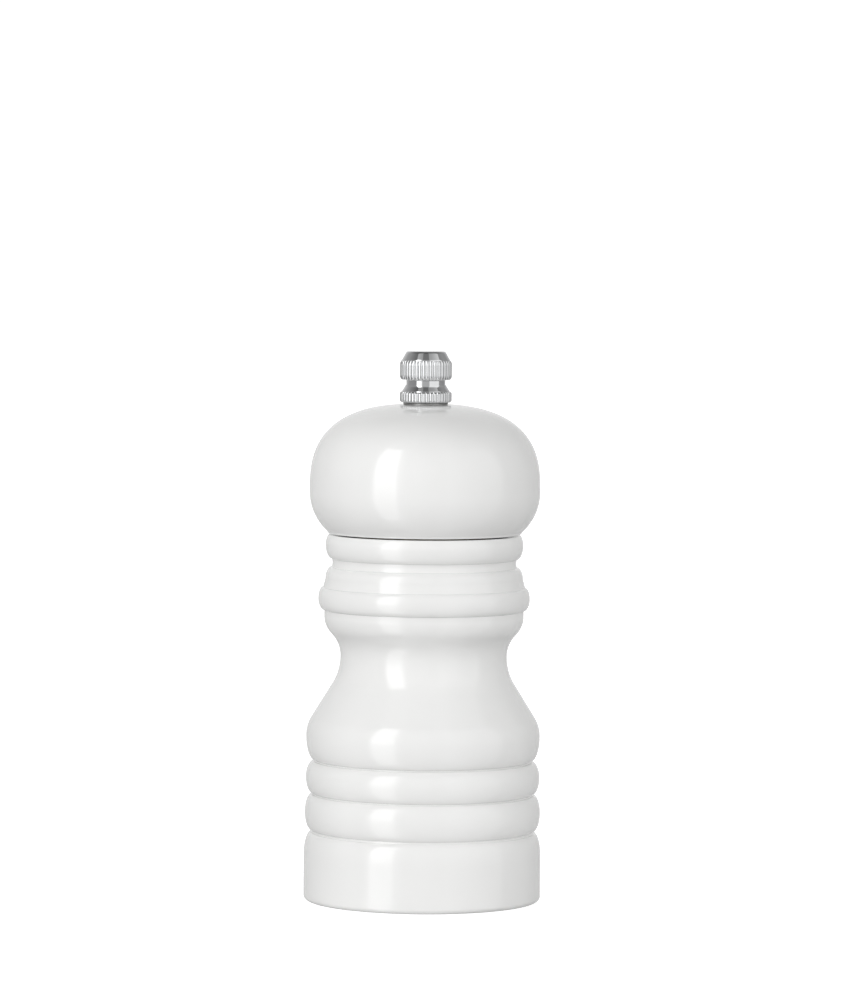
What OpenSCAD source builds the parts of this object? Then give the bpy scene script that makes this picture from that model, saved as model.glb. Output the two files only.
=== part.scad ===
// Turned pepper mill with a ceramic grinder, adjusted by the nut on top.
// Origin: centre of the base, on the surface that the mill stands on. +Z is up, millimetres.
// Every part is drawn at the coarsest grind, with the head seated on the body.

/* [Body heights, from the base up] */
// Straight wall of the base
base_h = 10.7; // [6:0.1:20]
// Rounded shoulder above the base
shoulder_h = 5.2; // [2:0.1:8]
// Width of the lowest groove
low_groove_h = 0.5; // [0.3:0.1:4]
// Height of the lower bead
low_bead_h = 8.3; // [4:0.1:14]
// Width of the middle groove
mid_groove_h = 0.3; // [0.2:0.1:3]
// Height of the upper bead
high_bead_h = 7.4; // [4:0.1:14]
// Width of the highest groove
high_groove_h = 0.3; // [0.2:0.1:3]
// Rounded foot of the belly
belly_foot_h = 5.6; // [3:0.1:10]
// From the belly's widest ring up to the neck
belly_h = 18.4; // [16:0.1:60]
// From the neck up to the step under the collar
flare_h = 9.4; // [8:0.1:20]
// Straight band under the collar
step_h = 1.4; // [0.5:0.1:4]
// Height of the collar bead
collar_h = 5.3; // [3:0.1:10]
// Tapered band over the collar
band_h = 1.9; // [1:0.1:5]
// Rounding from the band into the cove
band_round_h = 2.8; // [1:0.1:5]
// Width of the cove
cove_h = 1.9; // [0.5:0.1:4]
// Rounding from the cove out to the rim
rim_round_h = 3.3; // [1:0.1:6]
// Height of the rim's upper band
rim_h = 2.3; // [1:0.1:5]

/* [Body radii] */
// Radius of the base
base_r = 27.5; // [26.5:0.1:40]
// Rounding of the bottom edge
base_edge = 1.2; // [0.3:0.1:2]
// Radius at the bottom of the lowest groove
low_groove_r = 25.8; // [24.5:0.1:38]
// Radius of the lower bead
low_bead_r = 27.3; // [26.5:0.1:40]
// Radius at the bottom of the middle groove
mid_groove_r = 25.6; // [24.5:0.1:38]
// Radius of the upper bead
high_bead_r = 27.1; // [26:0.1:40]
// Radius at the bottom of the highest groove
high_groove_r = 25.2; // [24:0.1:38]
// Radius of the belly
belly_r = 27.1; // [26:0.1:40]
// Radius of the neck
neck_r = 19.3; // [17:0.1:23]
// Radius of the straight band under the collar
step_r = 23.1; // [21:0.1:30]
// Radius of the collar bead
collar_r = 24.5; // [22:0.1:32]
// Radius of the tapered band where it leaves the collar
band_r = 23.4; // [21:0.1:30]
// Radius of the tapered band at its top
band_top_r = 22.9; // [21:0.1:30]
// Radius at the bottom of the cove
cove_r = 21.4; // [19.5:0.1:28]
// Radius of the rim
rim_r = 22.9; // [20.5:0.1:30]
// Radius of the rim at its top face
rim_top_r = 22.4; // [20:0.1:30]
// Turning radius of the belly's upper curve
belly_curve = 8.2; // [4:0.1:14]
// Turning radius of the hollow over the belly
neck_curve = 12.2; // [6:0.1:20]
// Turning radius of the hollow under the flare
flare_curve = 7.2; // [4:0.1:12]
// Turning radius of the flare's shoulder
flare_shoulder = 5.9; // [3:0.1:10]

/* [Head] */
// Greatest radius of the head
head_r = 26.7; // [25:0.1:40]
// From the head's lower face up to its widest ring
head_low_h = 9.8; // [6:0.1:11.5]
// From the widest ring up to the crown
head_crown_h = 20.2; // [12:0.1:30]
// Turning radius under the widest ring
head_low_curve = 12.7; // [12:0.1:20]
// Fullness of the crown, 2 is an ellipse
head_fullness = 2.7; // [2:0.1:4]
// Radius of the flat that the nut's washer sits on
head_seat_r = 6.4; // [5.5:0.1:9]
// Ledge in the body between the pepper space and the tenon's socket
socket_ledge = 2.25; // [1:0.05:3]
// Length of the tenon below the head
tenon_l = 12.6; // [8:0.1:16]

/* [Reservoir and pockets] */
// Radius of the pepper space
reservoir_r = 13.5; // [12.9:0.1:15]
// Depth from the base up to the retainer's lower face
base_recess = 2; // [1.5:0.1:4]

/* [Grinder] */
// Outer radius of the fixed grinding ring
stator_r = 14.4; // [13.8:0.1:16]
// Height of the fixed grinding ring
stator_h = 10; // [8:0.1:14]
// Inner radius at the mouth of the fixed ring
stator_mouth_r = 12.3; // [11.5:0.1:12.6]
// Inner radius at the feed side of the fixed ring
stator_feed_r = 12.6; // [11:0.1:13]
// Height of the fixed ring's grinding zone
grind_h = 6; // [4:0.1:8]
// Angle of the grinding zone to the axis
grind_angle = 20; // [12:1:24]
// Number of flutes in the fixed ring
stator_flutes = 18; // [12:1:30]
// Radius of those flutes
stator_flute_r = 0.8; // [0.4:0.1:1]
// Height of the turning grinding cone
rotor_h = 9.4; // [8:0.1:12]
// Height of the cone's fine zone
rotor_fine_h = 4; // [2.5:0.1:5]
// Wall of the cone at its narrow end
rotor_wall = 1.9; // [1.5:0.1:3]
// Number of flutes in the cone
rotor_flutes = 12; // [8:1:18]
// Radius of those flutes
rotor_flute_r = 1.1; // [0.6:0.1:1.3]
// Depth of the recess under the cone
rotor_recess = 4.4; // [4:0.1:5]
// Gap between cone and ring at the finest grind
fine_gap = 0.15; // [0.1:0.01:0.4]
// Pitch of the shaft's upper thread
thread_pitch = 0.8; // [0.5:0.1:1]
// Turns of the nut from coarse to fine
nut_turns = 2; // [1:0.5:2]

/* [Housing] */
// Wall of the housing
housing_wall = 2.4; // [1.8:0.1:3]
// Height of the housing
housing_h = 23.8; // [22.5:0.1:32]
// Thickness of the three-spoke spider
spider_t = 3; // [2:0.1:4]
// Width of a spoke
spoke_w = 3.2; // [2:0.1:5]
// Wall of the boss around the shaft
boss_wall = 2.5; // [1.5:0.1:3]
// Height of the ledge over the fixed ring
ledge_h = 1.4; // [1:0.1:2]
// Reach of that ledge over the ring
ledge_w = 1.5; // [1:0.1:2]
// Reach of the retainer ring past the housing, wide enough for its screws
retainer_reach = 5.3; // [5:0.1:6]
// Thickness of the retainer ring
retainer_t = 1.2; // [1.1:0.1:2]

/* [Shaft and its pieces] */
// Width across the flats of the square shaft
shaft_w = 5; // [4:0.1:6.5]
// Outer radius of the shaft's upper thread
top_thread_r = 2.45; // [2:0.05:2.5]
// Length of the upper thread below the head's seat
thread_below = 5; // [2:0.1:10]
// Outer radius of the shaft's lower thread
end_thread_r = 2; // [1.5:0.05:2.2]
// Thickness of the hub's flange
hub_flange_t = 1.6; // [1:0.1:2]
// Radius of the hub's flange
hub_flange_r = 7.8; // [7:0.1:8.2]
// Wall of the hub at the shaft's corners
hub_wall = 1.4; // [1:0.1:2]
// Thickness of the thin washers on the rotor
washer_t = 0.6; // [0.4:0.1:1]
// Thickness of the washer under the hub
hub_washer_t = 0.8; // [0.5:0.1:1]
// Width across the flats of the lock nut
lock_nut_w = 7; // [6:0.1:8]
// Height of the lock nut
lock_nut_h = 3.2; // [2.2:0.1:3.4]
// Spring wire diameter
spring_wire = 1; // [0.6:0.1:1.4]

/* [Turnplate] */
// Gap from the turnplate's edge to the wall of the pepper space
turnplate_gap = 0.7; // [0.5:0.1:2]
// Thickness of the turnplate
turnplate_t = 1.5; // [1:0.1:2.5]
// Distance of its screws from its edge
turnplate_screw_in = 4.2; // [3:0.1:5]

/* [Screws] */
// Radius of a screw's head
screw_head_r = 2.5; // [2:0.1:3]
// Radius of a screw's shank
screw_r = 1.4; // [1:0.1:1.6]
// Length of a screw under its head
screw_l = 9; // [6:0.1:10]
// Height of a round screw head
screw_head_h = 1.5; // [1:0.1:2]

/* [Top nut] */
// Radius over the nut's ribs
nut_r = 6; // [5:0.1:8]
// Height of the nut's lower ribbed band
nut_low_h = 2.5; // [1.5:0.1:5]
// Height of the flare over the lower band
nut_flare_h = 1.5; // [1:0.1:3]
// Height of the nut's waist
nut_waist_h = 1.3; // [0.8:0.1:3]
// Height of the nut's upper ribbed band
nut_high_h = 4.4; // [2.5:0.1:8]
// Height of the nut's conical top
nut_cone_h = 2.2; // [1:0.1:4]
// Radius of the waist
nut_waist_r = 4.5; // [3.6:0.1:5.5]
// Radius of the flat top
nut_top_r = 4.4; // [2:0.1:6]
// Solid metal over the nut's blind bore
nut_cap_t = 1.6; // [1:0.1:3]
// Number of ribs
nut_ribs = 40; // [24:1:60]
// Depth of the ribs
nut_rib_depth = 0.25; // [0.1:0.05:0.5]
// Radius of the washer under the nut
nut_washer_r = 5.2; // [4:0.1:6]
// Thickness of the washer under the nut
nut_washer_t = 0.3; // [0.3:0.1:1]

/* [Clearances] */
// Gap between the head and the body, at the seam
seam_gap = 0.3; // [0.2:0.05:0.6]
// Tenon in its socket, on the radius
tenon_clear = 0.25; // [0.2:0.05:0.6]
// Shaft corner in the boss and in the washers
shaft_clear = 0.16; // [0.1:0.02:0.3]
// Shaft in the head's bore
head_bore_clear = 0.3; // [0.2:0.05:1]
// Pieces that are pushed into a pocket
fit = 0.1; // [0.05:0.05:0.2]
// Faces that turn on each other
face_gap = 0.2; // [0.1:0.05:0.3]
// Washer and nut faces on top of the head
top_gap = 0.05; // [0.04:0.01:0.1]
// Threads and screw shanks in their holes
thread_clear = 0.08; // [0.03:0.01:0.1]
// End of the shaft in the nut's bore at the finest grind
tip_clear = 0.3; // [0.2:0.1:1]

/* [Hidden] */
$fn = 96;
lacquer = "white";
steel = "silver";
ceramic = "ivory";
plastic = "dimgray";

// How far a cut runs past the face that it opens
past = 1;

// Heights of the body's turned rings
shoulder_z = base_h;
low_groove_z = shoulder_z + shoulder_h;
low_bead_z = low_groove_z + low_groove_h;
mid_groove_z = low_bead_z + low_bead_h;
high_bead_z = mid_groove_z + mid_groove_h;
high_groove_z = high_bead_z + high_bead_h;
belly_foot_z = high_groove_z + high_groove_h;
belly_z = belly_foot_z + belly_foot_h;
neck_z = belly_z + belly_h;
step_z = neck_z + flare_h;
collar_z = step_z + step_h;
band_z = collar_z + collar_h;
band_round_z = band_z + band_h;
cove_z = band_round_z + band_round_h;
rim_round_z = cove_z + cove_h;
rim_z = rim_round_z + rim_round_h;
body_top = rim_z + rim_h;

// Head
head_z = body_top + seam_gap;
head_wide_z = head_z + head_low_h;
head_edge = 0.4;
head_seat_z = head_wide_z + head_crown_h * pow(1 - pow(head_seat_r / head_r, head_fullness), 1 / head_fullness);
tenon_z = head_z - tenon_l;
socket_r = reservoir_r + socket_ledge;
tenon_r = socket_r - tenon_clear;
turnplate_r = reservoir_r - turnplate_gap;
turnplate_screw_at = turnplate_r - turnplate_screw_in;
socket_z = tenon_z - 2 * face_gap;

// Shaft
travel = thread_pitch * nut_turns;
shaft_corner = shaft_w / 2 * sqrt(2);
shaft_hole_r = shaft_corner + shaft_clear;
head_bore_r = shaft_corner + head_bore_clear;

// Top nut
washer_z = head_seat_z + top_gap;
nut_z = washer_z + nut_washer_t + top_gap;
nut_flare_z = nut_z + nut_low_h;
nut_waist_z = nut_flare_z + nut_flare_h;
nut_high_z = nut_waist_z + nut_waist_h;
nut_cone_z = nut_high_z + nut_high_h;
nut_top_z = nut_cone_z + nut_cone_h;
nut_bore_top = nut_top_z - nut_cap_t;
shaft_tip_z = nut_bore_top - travel - tip_clear;
thread_z = head_seat_z - thread_below;

// Grinder, from the base up
retainer_z = base_recess;
stator_z = retainer_z + retainer_t;
stator_waist_z = stator_z + grind_h;
stator_waist_r = stator_mouth_r - grind_h * tan(grind_angle);
housing_r = stator_r + fit + housing_wall;
housing_bore_r = stator_r + fit;
retainer_r = housing_r + retainer_reach;
housing_top = stator_z + housing_h;
spider_z = housing_top - spider_t;
boss_r = shaft_hole_r + boss_wall;
ledge_z = stator_z + stator_h;
ledge_r = housing_bore_r - ledge_w;
key_w = 2;
key_t = 1;
retainer_bore_r = stator_mouth_r + 3 * fit;
screw_circle = (housing_r + retainer_r) / 2;

// The cone's rim stands one rim_lift inside the ring's mouth at the finest grind
rim_lift = 1;
rotor_z = stator_z + rim_lift - travel;
rotor_rim_r = stator_mouth_r - rim_lift * tan(grind_angle) - fine_gap;
rotor_waist_z = rotor_z + rotor_fine_h;
rotor_waist_r = rotor_rim_r - rotor_fine_h * tan(grind_angle);
hub_hole_w = shaft_w + fit;
hub_r = hub_hole_w / 2 * sqrt(2) + hub_wall;
rotor_bore_r = hub_r + fit;
rotor_top_z = rotor_z + rotor_h;
rotor_top_r = rotor_bore_r + rotor_wall;
flange_top_z = rotor_z + rotor_recess;
flange_z = flange_top_z - hub_flange_t;
hub_washer_z = flange_z - hub_washer_t;
lock_nut_z = hub_washer_z - lock_nut_h;
shaft_below_nut = 0.4;
shaft_end_z = lock_nut_z - shaft_below_nut;
seat_washer_top = rotor_top_z + washer_t;
top_washer_z = spider_z - face_gap - washer_t;
spring_clear = 0.4;
spring_in_r = shaft_hole_r + spring_clear;
spring_out_r = spring_in_r + spring_wire;

// How far a washer stands out past the spring or the nut on it
washer_lip = 0.4;

// Straight stretch at the neck
neck_flat = 0.2;

// Cross slot in a screw's head: its width, its depth and its reach as a share of the head's radius
driver_w = 0.6;
driver_depth = 0.8;
driver_reach = 0.6;

// Points along part of an ellipse, from one angle to another
function arc(cr, cz, er, ez, from, to, n) =
    [for (i = [0 : n]) let (a = from + (to - from) * i / n) [cr + er * cos(a), cz + ez * sin(a)]];

// Half an ellipse that stands out from the grooves on its two sides
function bead(z, h, low_r, high_r, crest_r) = concat(
    arc(low_r, z + h / 2, crest_r - low_r, h / 2, -90, 0, 8),
    arc(high_r, z + h / 2, crest_r - high_r, h / 2, 0, 90, 8)
);

// S-curve between two upright walls: two arcs and the straight line that touches both.
// Arcs too large for the wall's height are reduced until the line just fits between them.
function ogee(r0, z0, r1, z1, curve0, curve1) =
    let (
        side = sign(r1 - r0),
        out = abs(r1 - r0),
        up = z1 - z0,
        most = (out * out + up * up) / (2 * out),
        fitted = min(1, 0.99 * most / (curve0 + curve1)),
        c0 = curve0 * fitted,
        c1 = curve1 * fitted,
        across = c0 + c1 - out,
        turn = atan2(up, across) - acos((c0 + c1) / norm([across, up])),
        first = [for (i = [0 : 8]) let (a = turn * i / 8) [r0 + side * c0 * (1 - cos(a)), z0 + c0 * sin(a)]],
        second = [for (i = [8 : -1 : 0]) let (a = turn * i / 8) [r1 - side * c1 * (1 - cos(a)), z1 - c1 * sin(a)]]
    )
    concat(first, second);

// Superellipse quarter from the widest ring up to the edge of the seat
function crown(r, h, z, n_full, seat_r, n) =
    [for (i = [0 : n]) let (
        last = acos(pow(seat_r / r, n_full / 2)),
        a = last * i / n
    ) [r * pow(cos(a), 2 / n_full), z + h * pow(sin(a), 2 / n_full)]];

body_outline = concat(
    arc(base_r - base_edge, base_edge, base_edge, base_edge, -90, 0, 5),
    arc(low_groove_r, shoulder_z, base_r - low_groove_r, shoulder_h, 0, 90, 8),
    bead(low_bead_z, low_bead_h, low_groove_r, mid_groove_r, low_bead_r),
    bead(high_bead_z, high_bead_h, mid_groove_r, high_groove_r, high_bead_r),
    arc(high_groove_r, belly_z, belly_r - high_groove_r, belly_foot_h, -90, -6, 8),
    ogee(belly_r, belly_z, neck_r, neck_z, belly_curve, neck_curve),
    ogee(neck_r, neck_z + neck_flat, step_r, step_z, flare_curve, flare_shoulder),
    bead(collar_z, collar_h, step_r, band_r, collar_r),
    arc(cove_r, band_round_z, band_top_r - cove_r, band_round_h, 0, 90, 6),
    arc(cove_r, rim_z, rim_r - cove_r, rim_round_h, -90, 0, 6),
    [[rim_top_r, body_top]]
);

// The head's lip, its lower curve and its crown, down to the seat
head_low_angle = asin((head_low_h - head_edge) / head_low_curve);
head_lip_r = head_r - head_low_curve * (1 - cos(head_low_angle));
head_outline = concat(
    arc(head_r - head_low_curve, head_wide_z, head_low_curve, head_low_curve, -head_low_angle, -6, 9),
    crown(head_r, head_crown_h, head_wide_z, head_fullness, head_seat_r, 26)
);

module ring(outer, inner, z, h) {
    translate([0, 0, z])
        difference() {
            cylinder(h = h, r = outer);
            translate([0, 0, -past])
                cylinder(h = h + 2 * past, r = inner);
        }
}

module round_hole(r, z, h) {
    translate([0, 0, z])
        cylinder(h = h, r = r);
}

module square_bar(w, z, h) {
    translate([-w / 2, -w / 2, z])
        cube([w, w, h]);
}

// A flute along a cone's wall: a round cut whose axis leans with the wall
module flute(wall_r, z, lean, cut_r, length) {
    translate([wall_r, 0, z])
        rotate([0, -lean, 0])
            translate([0, 0, -length / 2])
                cylinder(h = length, r = cut_r, $fn = 32);
}

module body_shell() {
    color(lacquer)
        difference() {
            rotate_extrude()
                polygon(concat([[0, 0]], body_outline, [[0, body_top]]));
            round_hole(retainer_r + fit, -past, stator_z + past);
            round_hole(housing_r + fit, 0, housing_top + fit / 2);
            round_hole(reservoir_r, 0, body_top);
            round_hole(socket_r, socket_z, body_top - socket_z + past);
            for (side = [-1, 1])
                translate([side * screw_circle, 0, 0])
                    round_hole(screw_r + thread_clear, 0, retainer_z + screw_l + 2 * fit);
        }
}

module mechanism_housing() {
    color(plastic)
        difference() {
            union() {
                difference() {
                    round_hole(housing_r, stator_z, housing_h);
                    round_hole(housing_bore_r, stator_z - past, stator_h + past);
                    round_hole(ledge_r, ledge_z - past, housing_h);
                    translate([0, 0, ledge_z + ledge_h])
                        cylinder(h = ledge_w, r1 = ledge_r, r2 = housing_bore_r);
                    round_hole(housing_bore_r, ledge_z + ledge_h + ledge_w, housing_h);
                }
                round_hole(boss_r, spider_z, spider_t);
                for (turn = [90, 210, 330])
                    rotate([0, 0, turn])
                        translate([boss_r - past, -spoke_w / 2, spider_z])
                            cube([housing_bore_r - boss_r + 2 * past, spoke_w, spider_t]);
                for (turn = [0, 180])
                    rotate([0, 0, turn])
                        translate([stator_r - key_t + fit, -key_w / 2, stator_z + fit])
                            cube([key_t + fit, key_w, stator_h]);
            }
            round_hole(shaft_hole_r, spider_z - past, spider_t + 2 * past);
        }
}

module stator_ring() {
    middle_z = stator_z + grind_h / 2;
    middle_r = (stator_mouth_r + stator_waist_r) / 2;
    flute_l = grind_h / cos(grind_angle) + 2 * past;
    color(ceramic)
        difference() {
            rotate_extrude()
                polygon([
                    [stator_mouth_r, stator_z],
                    [stator_r, stator_z],
                    [stator_r, stator_z + stator_h],
                    [stator_feed_r, stator_z + stator_h],
                    [stator_waist_r, stator_waist_z]
                ]);
            for (i = [0 : stator_flutes - 1])
                rotate([0, 0, 360 * (i + 0.5) / stator_flutes])
                    flute(middle_r, middle_z, grind_angle, stator_flute_r, flute_l);
            for (turn = [0, 180])
                rotate([0, 0, turn])
                    translate([stator_r - key_t, -key_w / 2 - fit, stator_z - past])
                        cube([key_t + past, key_w + 2 * fit, stator_h + 2 * past]);
        }
}

module retainer_ring() {
    color(steel)
        difference() {
            ring(retainer_r, retainer_bore_r, retainer_z, retainer_t);
            for (side = [-1, 1])
                translate([side * screw_circle, 0, retainer_z]) {
                    round_hole(screw_r + fit, -past, retainer_t + 2 * past);
                    sunk_cone(fit);
                }
        }
}

// Cone of a countersunk head, from its flat face up
module sunk_cone(extra) {
    cylinder(h = screw_head_r - screw_r, r1 = screw_head_r + extra, r2 = screw_r + extra, $fn = 48);
}

module retainer_screw(side) {
    color(steel)
        translate([side * screw_circle, 0, retainer_z])
            difference() {
                union() {
                    sunk_cone(0);
                    cylinder(h = screw_l, r = screw_r, $fn = 48);
                }
                driver_cross(-past, driver_depth + past);
            }
}

// Cross slot for the screwdriver
module driver_cross(z, h) {
    for (turn = [0, 90])
        rotate([0, 0, turn])
            translate([-screw_head_r * driver_reach, -driver_w / 2, z])
                cube([2 * screw_head_r * driver_reach, driver_w, h]);
}

module retainer_screw_1() {
    retainer_screw(-1);
}

module retainer_screw_2() {
    retainer_screw(1);
}

module spring_top_washer() {
    color(steel)
        ring(spring_out_r + washer_lip, shaft_hole_r, top_washer_z, washer_t);
}

module grind_spring() {
    color(steel)
        ring(spring_out_r, spring_in_r, seat_washer_top + top_gap, top_washer_z - seat_washer_top - top_gap);
}

module drive_shaft() {
    tip_edge = 0.5;
    color(steel)
        union() {
            square_bar(shaft_w, flange_top_z, thread_z - flange_top_z);
            round_hole(top_thread_r, thread_z - past, shaft_tip_z - thread_z + past - tip_edge);
            translate([0, 0, shaft_tip_z - tip_edge])
                cylinder(h = tip_edge, r1 = top_thread_r, r2 = top_thread_r - tip_edge);
            round_hole(end_thread_r, shaft_end_z, flange_top_z - shaft_end_z + past);
        }
}

module rotor_hub() {
    key_l = hub_flange_r - hub_r;
    color(plastic)
        difference() {
            union() {
                round_hole(hub_flange_r, flange_z, hub_flange_t);
                round_hole(hub_r, flange_z, rotor_top_z - face_gap - flange_z);
                for (turn = [0, 180])
                    rotate([0, 0, turn])
                        translate([hub_r - past, -key_w / 2, flange_z])
                            cube([key_l, key_w, hub_flange_t + key_t]);
            }
            round_hole(end_thread_r + thread_clear, flange_z - past, hub_flange_t + 2 * past);
            square_bar(hub_hole_w, flange_top_z, rotor_h);
        }
}

module rotor() {
    cone_h = rotor_top_z - rotor_waist_z;
    cone_lean = atan2(rotor_waist_r - rotor_top_r, cone_h);
    flute_at_z = rotor_waist_z + cone_h / 2;
    flute_out = 0.2;
    flute_at_r = (rotor_waist_r + rotor_top_r) / 2 + flute_out;
    flute_l = cone_h / cos(cone_lean) + 3 * past;
    color(ceramic)
        difference() {
            rotate_extrude()
                polygon([
                    [rotor_bore_r, flange_top_z],
                    [hub_flange_r + 2 * fit, flange_top_z],
                    [hub_flange_r + 2 * fit, rotor_z],
                    [rotor_rim_r, rotor_z],
                    [rotor_waist_r, rotor_waist_z],
                    [rotor_top_r, rotor_top_z],
                    [rotor_bore_r, rotor_top_z]
                ]);
            for (i = [0 : rotor_flutes - 1])
                rotate([0, 0, 360 * (i + 0.5) / rotor_flutes])
                    flute(flute_at_r, flute_at_z, cone_lean, rotor_flute_r, flute_l);
            for (turn = [0, 180])
                rotate([0, 0, turn])
                    translate([0, -key_w / 2 - fit, rotor_z - past])
                        cube([hub_flange_r + fit, key_w + 2 * fit, rotor_recess + key_t + fit + past]);
        }
}

module spring_seat_washer() {
    color(steel)
        ring(spring_out_r + washer_lip, shaft_hole_r, rotor_top_z, washer_t);
}

module rotor_washer() {
    color(steel)
        ring(lock_nut_w / sqrt(3) + washer_lip, end_thread_r + thread_clear, hub_washer_z, hub_washer_t);
}

module shaft_lock_nut() {
    color(steel)
        difference() {
            translate([0, 0, lock_nut_z])
                cylinder(h = lock_nut_h, r = lock_nut_w / sqrt(3), $fn = 6);
            round_hole(end_thread_r + thread_clear, lock_nut_z - past, lock_nut_h + 2 * past);
        }
}

module head_knob() {
    color(lacquer)
        difference() {
            rotate_extrude()
                polygon(concat(
                    [[0, tenon_z], [tenon_r - head_edge, tenon_z], [tenon_r, tenon_z + head_edge]],
                    [[tenon_r, head_z], [head_lip_r - head_edge, head_z]],
                    head_outline,
                    [[0, head_seat_z]]
                ));
            round_hole(head_bore_r, tenon_z - past, head_seat_z - tenon_z + 2 * past);
            for (side = [-1, 1])
                translate([0, side * turnplate_screw_at, 0])
                    round_hole(screw_r + thread_clear, tenon_z - past, screw_l - turnplate_t + past + 2 * fit);
        }
}

module turnplate() {
    hole_w = shaft_w + 2 * fit;
    color(steel)
        difference() {
            round_hole(turnplate_r, tenon_z - turnplate_t, turnplate_t);
            square_bar(hole_w, tenon_z - turnplate_t - past, turnplate_t + 2 * past);
            for (side = [-1, 1])
                translate([0, side * turnplate_screw_at, 0])
                    round_hole(screw_r + fit, tenon_z - turnplate_t - past, turnplate_t + 2 * past);
        }
}

module turnplate_screw(side) {
    color(steel)
        translate([0, side * turnplate_screw_at, tenon_z - turnplate_t])
            difference() {
                union() {
                    cylinder(h = screw_l, r = screw_r, $fn = 48);
                    rotate_extrude($fn = 48)
                        polygon(concat(
                            [[0, 0]],
                            arc(0, 0, screw_head_r, screw_head_h, 0, -84, 6),
                            [[0, -screw_head_h]]
                        ));
                }
                driver_cross(-screw_head_h - past, driver_depth + past);
            }
}

module turnplate_screw_1() {
    turnplate_screw(-1);
}

module turnplate_screw_2() {
    turnplate_screw(1);
}

module nut_washer() {
    color(steel)
        ring(nut_washer_r, head_bore_r, washer_z, nut_washer_t);
}

module adjusting_nut() {
    rib_r = nut_rib_depth;
    root_r = nut_r - rib_r;
    foot_edge = 0.3;
    waist_edge = 0.2;
    top_edge_r = 0.2;
    top_edge_h = 0.15;
    color(steel)
        difference() {
            union() {
                rotate_extrude()
                    polygon(concat(
                        [[0, nut_z], [nut_washer_r, nut_z], [root_r, nut_z + foot_edge], [root_r, nut_flare_z]],
                        [[nut_waist_r, nut_waist_z], [nut_waist_r, nut_high_z]],
                        [[root_r, nut_high_z + waist_edge], [root_r, nut_cone_z]],
                        [[nut_top_r + top_edge_r, nut_top_z - top_edge_h], [nut_top_r, nut_top_z], [0, nut_top_z]]
                    ));
                for (i = [0 : nut_ribs - 1])
                    rotate([0, 0, 360 * i / nut_ribs])
                        translate([root_r, 0, 0]) {
                            round_rib(rib_r, nut_z + foot_edge, nut_low_h - foot_edge);
                            round_rib(rib_r, nut_high_z + waist_edge, nut_high_h - waist_edge);
                        }
            }
            round_hole(top_thread_r + thread_clear, nut_z - past, nut_bore_top - nut_z + past);
        }
}

module round_rib(r, z, h) {
    translate([0, 0, z])
        cylinder(h = h, r = r, $fn = 16);
}

body_shell();
mechanism_housing();
stator_ring();
retainer_ring();
retainer_screw_1();
retainer_screw_2();
spring_top_washer();
grind_spring();
drive_shaft();
rotor_hub();
rotor();
spring_seat_washer();
rotor_washer();
shaft_lock_nut();
head_knob();
turnplate();
turnplate_screw_1();
turnplate_screw_2();
nut_washer();
adjusting_nut();
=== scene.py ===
import math

import bpy
import bmesh
from mathutils import Matrix, Vector


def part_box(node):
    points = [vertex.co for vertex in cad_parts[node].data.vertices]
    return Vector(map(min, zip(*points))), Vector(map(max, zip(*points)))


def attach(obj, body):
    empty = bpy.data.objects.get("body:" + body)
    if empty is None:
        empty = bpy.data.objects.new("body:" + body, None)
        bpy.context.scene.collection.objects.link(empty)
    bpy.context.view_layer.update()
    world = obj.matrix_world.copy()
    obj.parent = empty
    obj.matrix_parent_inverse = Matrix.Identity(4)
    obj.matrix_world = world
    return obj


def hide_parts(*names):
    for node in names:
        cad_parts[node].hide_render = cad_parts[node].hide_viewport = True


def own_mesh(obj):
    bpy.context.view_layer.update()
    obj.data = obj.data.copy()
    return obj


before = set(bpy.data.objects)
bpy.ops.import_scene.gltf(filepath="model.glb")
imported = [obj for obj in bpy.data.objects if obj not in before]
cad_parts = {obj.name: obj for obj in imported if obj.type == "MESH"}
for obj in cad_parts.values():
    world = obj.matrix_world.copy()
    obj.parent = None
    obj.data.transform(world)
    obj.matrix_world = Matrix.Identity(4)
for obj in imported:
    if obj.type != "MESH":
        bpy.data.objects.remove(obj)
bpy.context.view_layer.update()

# A millimetre and the distance at which points are welded, in metres, and a full turn in radians
MM, WELD = 0.001, 0.000001
TURN = 2 * math.pi
# The kinds of node that come up most
MATH, SPREAD, MIX, RAMP = "ShaderNodeMath", "ShaderNodeMapRange", "ShaderNodeMix", "ShaderNodeValToRGB"
NOISE, SPLIT, JOIN = "ShaderNodeTexNoise", "ShaderNodeSeparateXYZ", "ShaderNodeCombineXYZ"


# ------------------------------------------------ outlines, in millimetres, as (radius, height)

def arc(r, z, across, up, start, end, steps):
    """Part of an ellipse round (r, z), from one angle to another in degrees."""
    angles = [math.radians(start + (end - start) * i / steps) for i in range(steps + 1)]
    return [(r + across * math.cos(a), z + up * math.sin(a)) for a in angles]


def bead(z, height, low_r, high_r, crest_r, steps=14):
    """Half an ellipse that stands out from the grooves on its two sides."""
    middle = z + height / 2
    return (arc(low_r, middle, crest_r - low_r, height / 2, -90, 0, steps)
            + arc(high_r, middle, crest_r - high_r, height / 2, 0, 90, steps)[1:])


def groove(r0, z0, r1, z1, depth, steps=6):
    """Bottom of a turned groove: a shallow round between two beads."""
    points = []
    for i in range(1, steps):
        t = i / steps
        points.append((r0 + (r1 - r0) * t - depth * math.sin(math.pi * t), z0 + (z1 - z0) * t))
    return points


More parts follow.
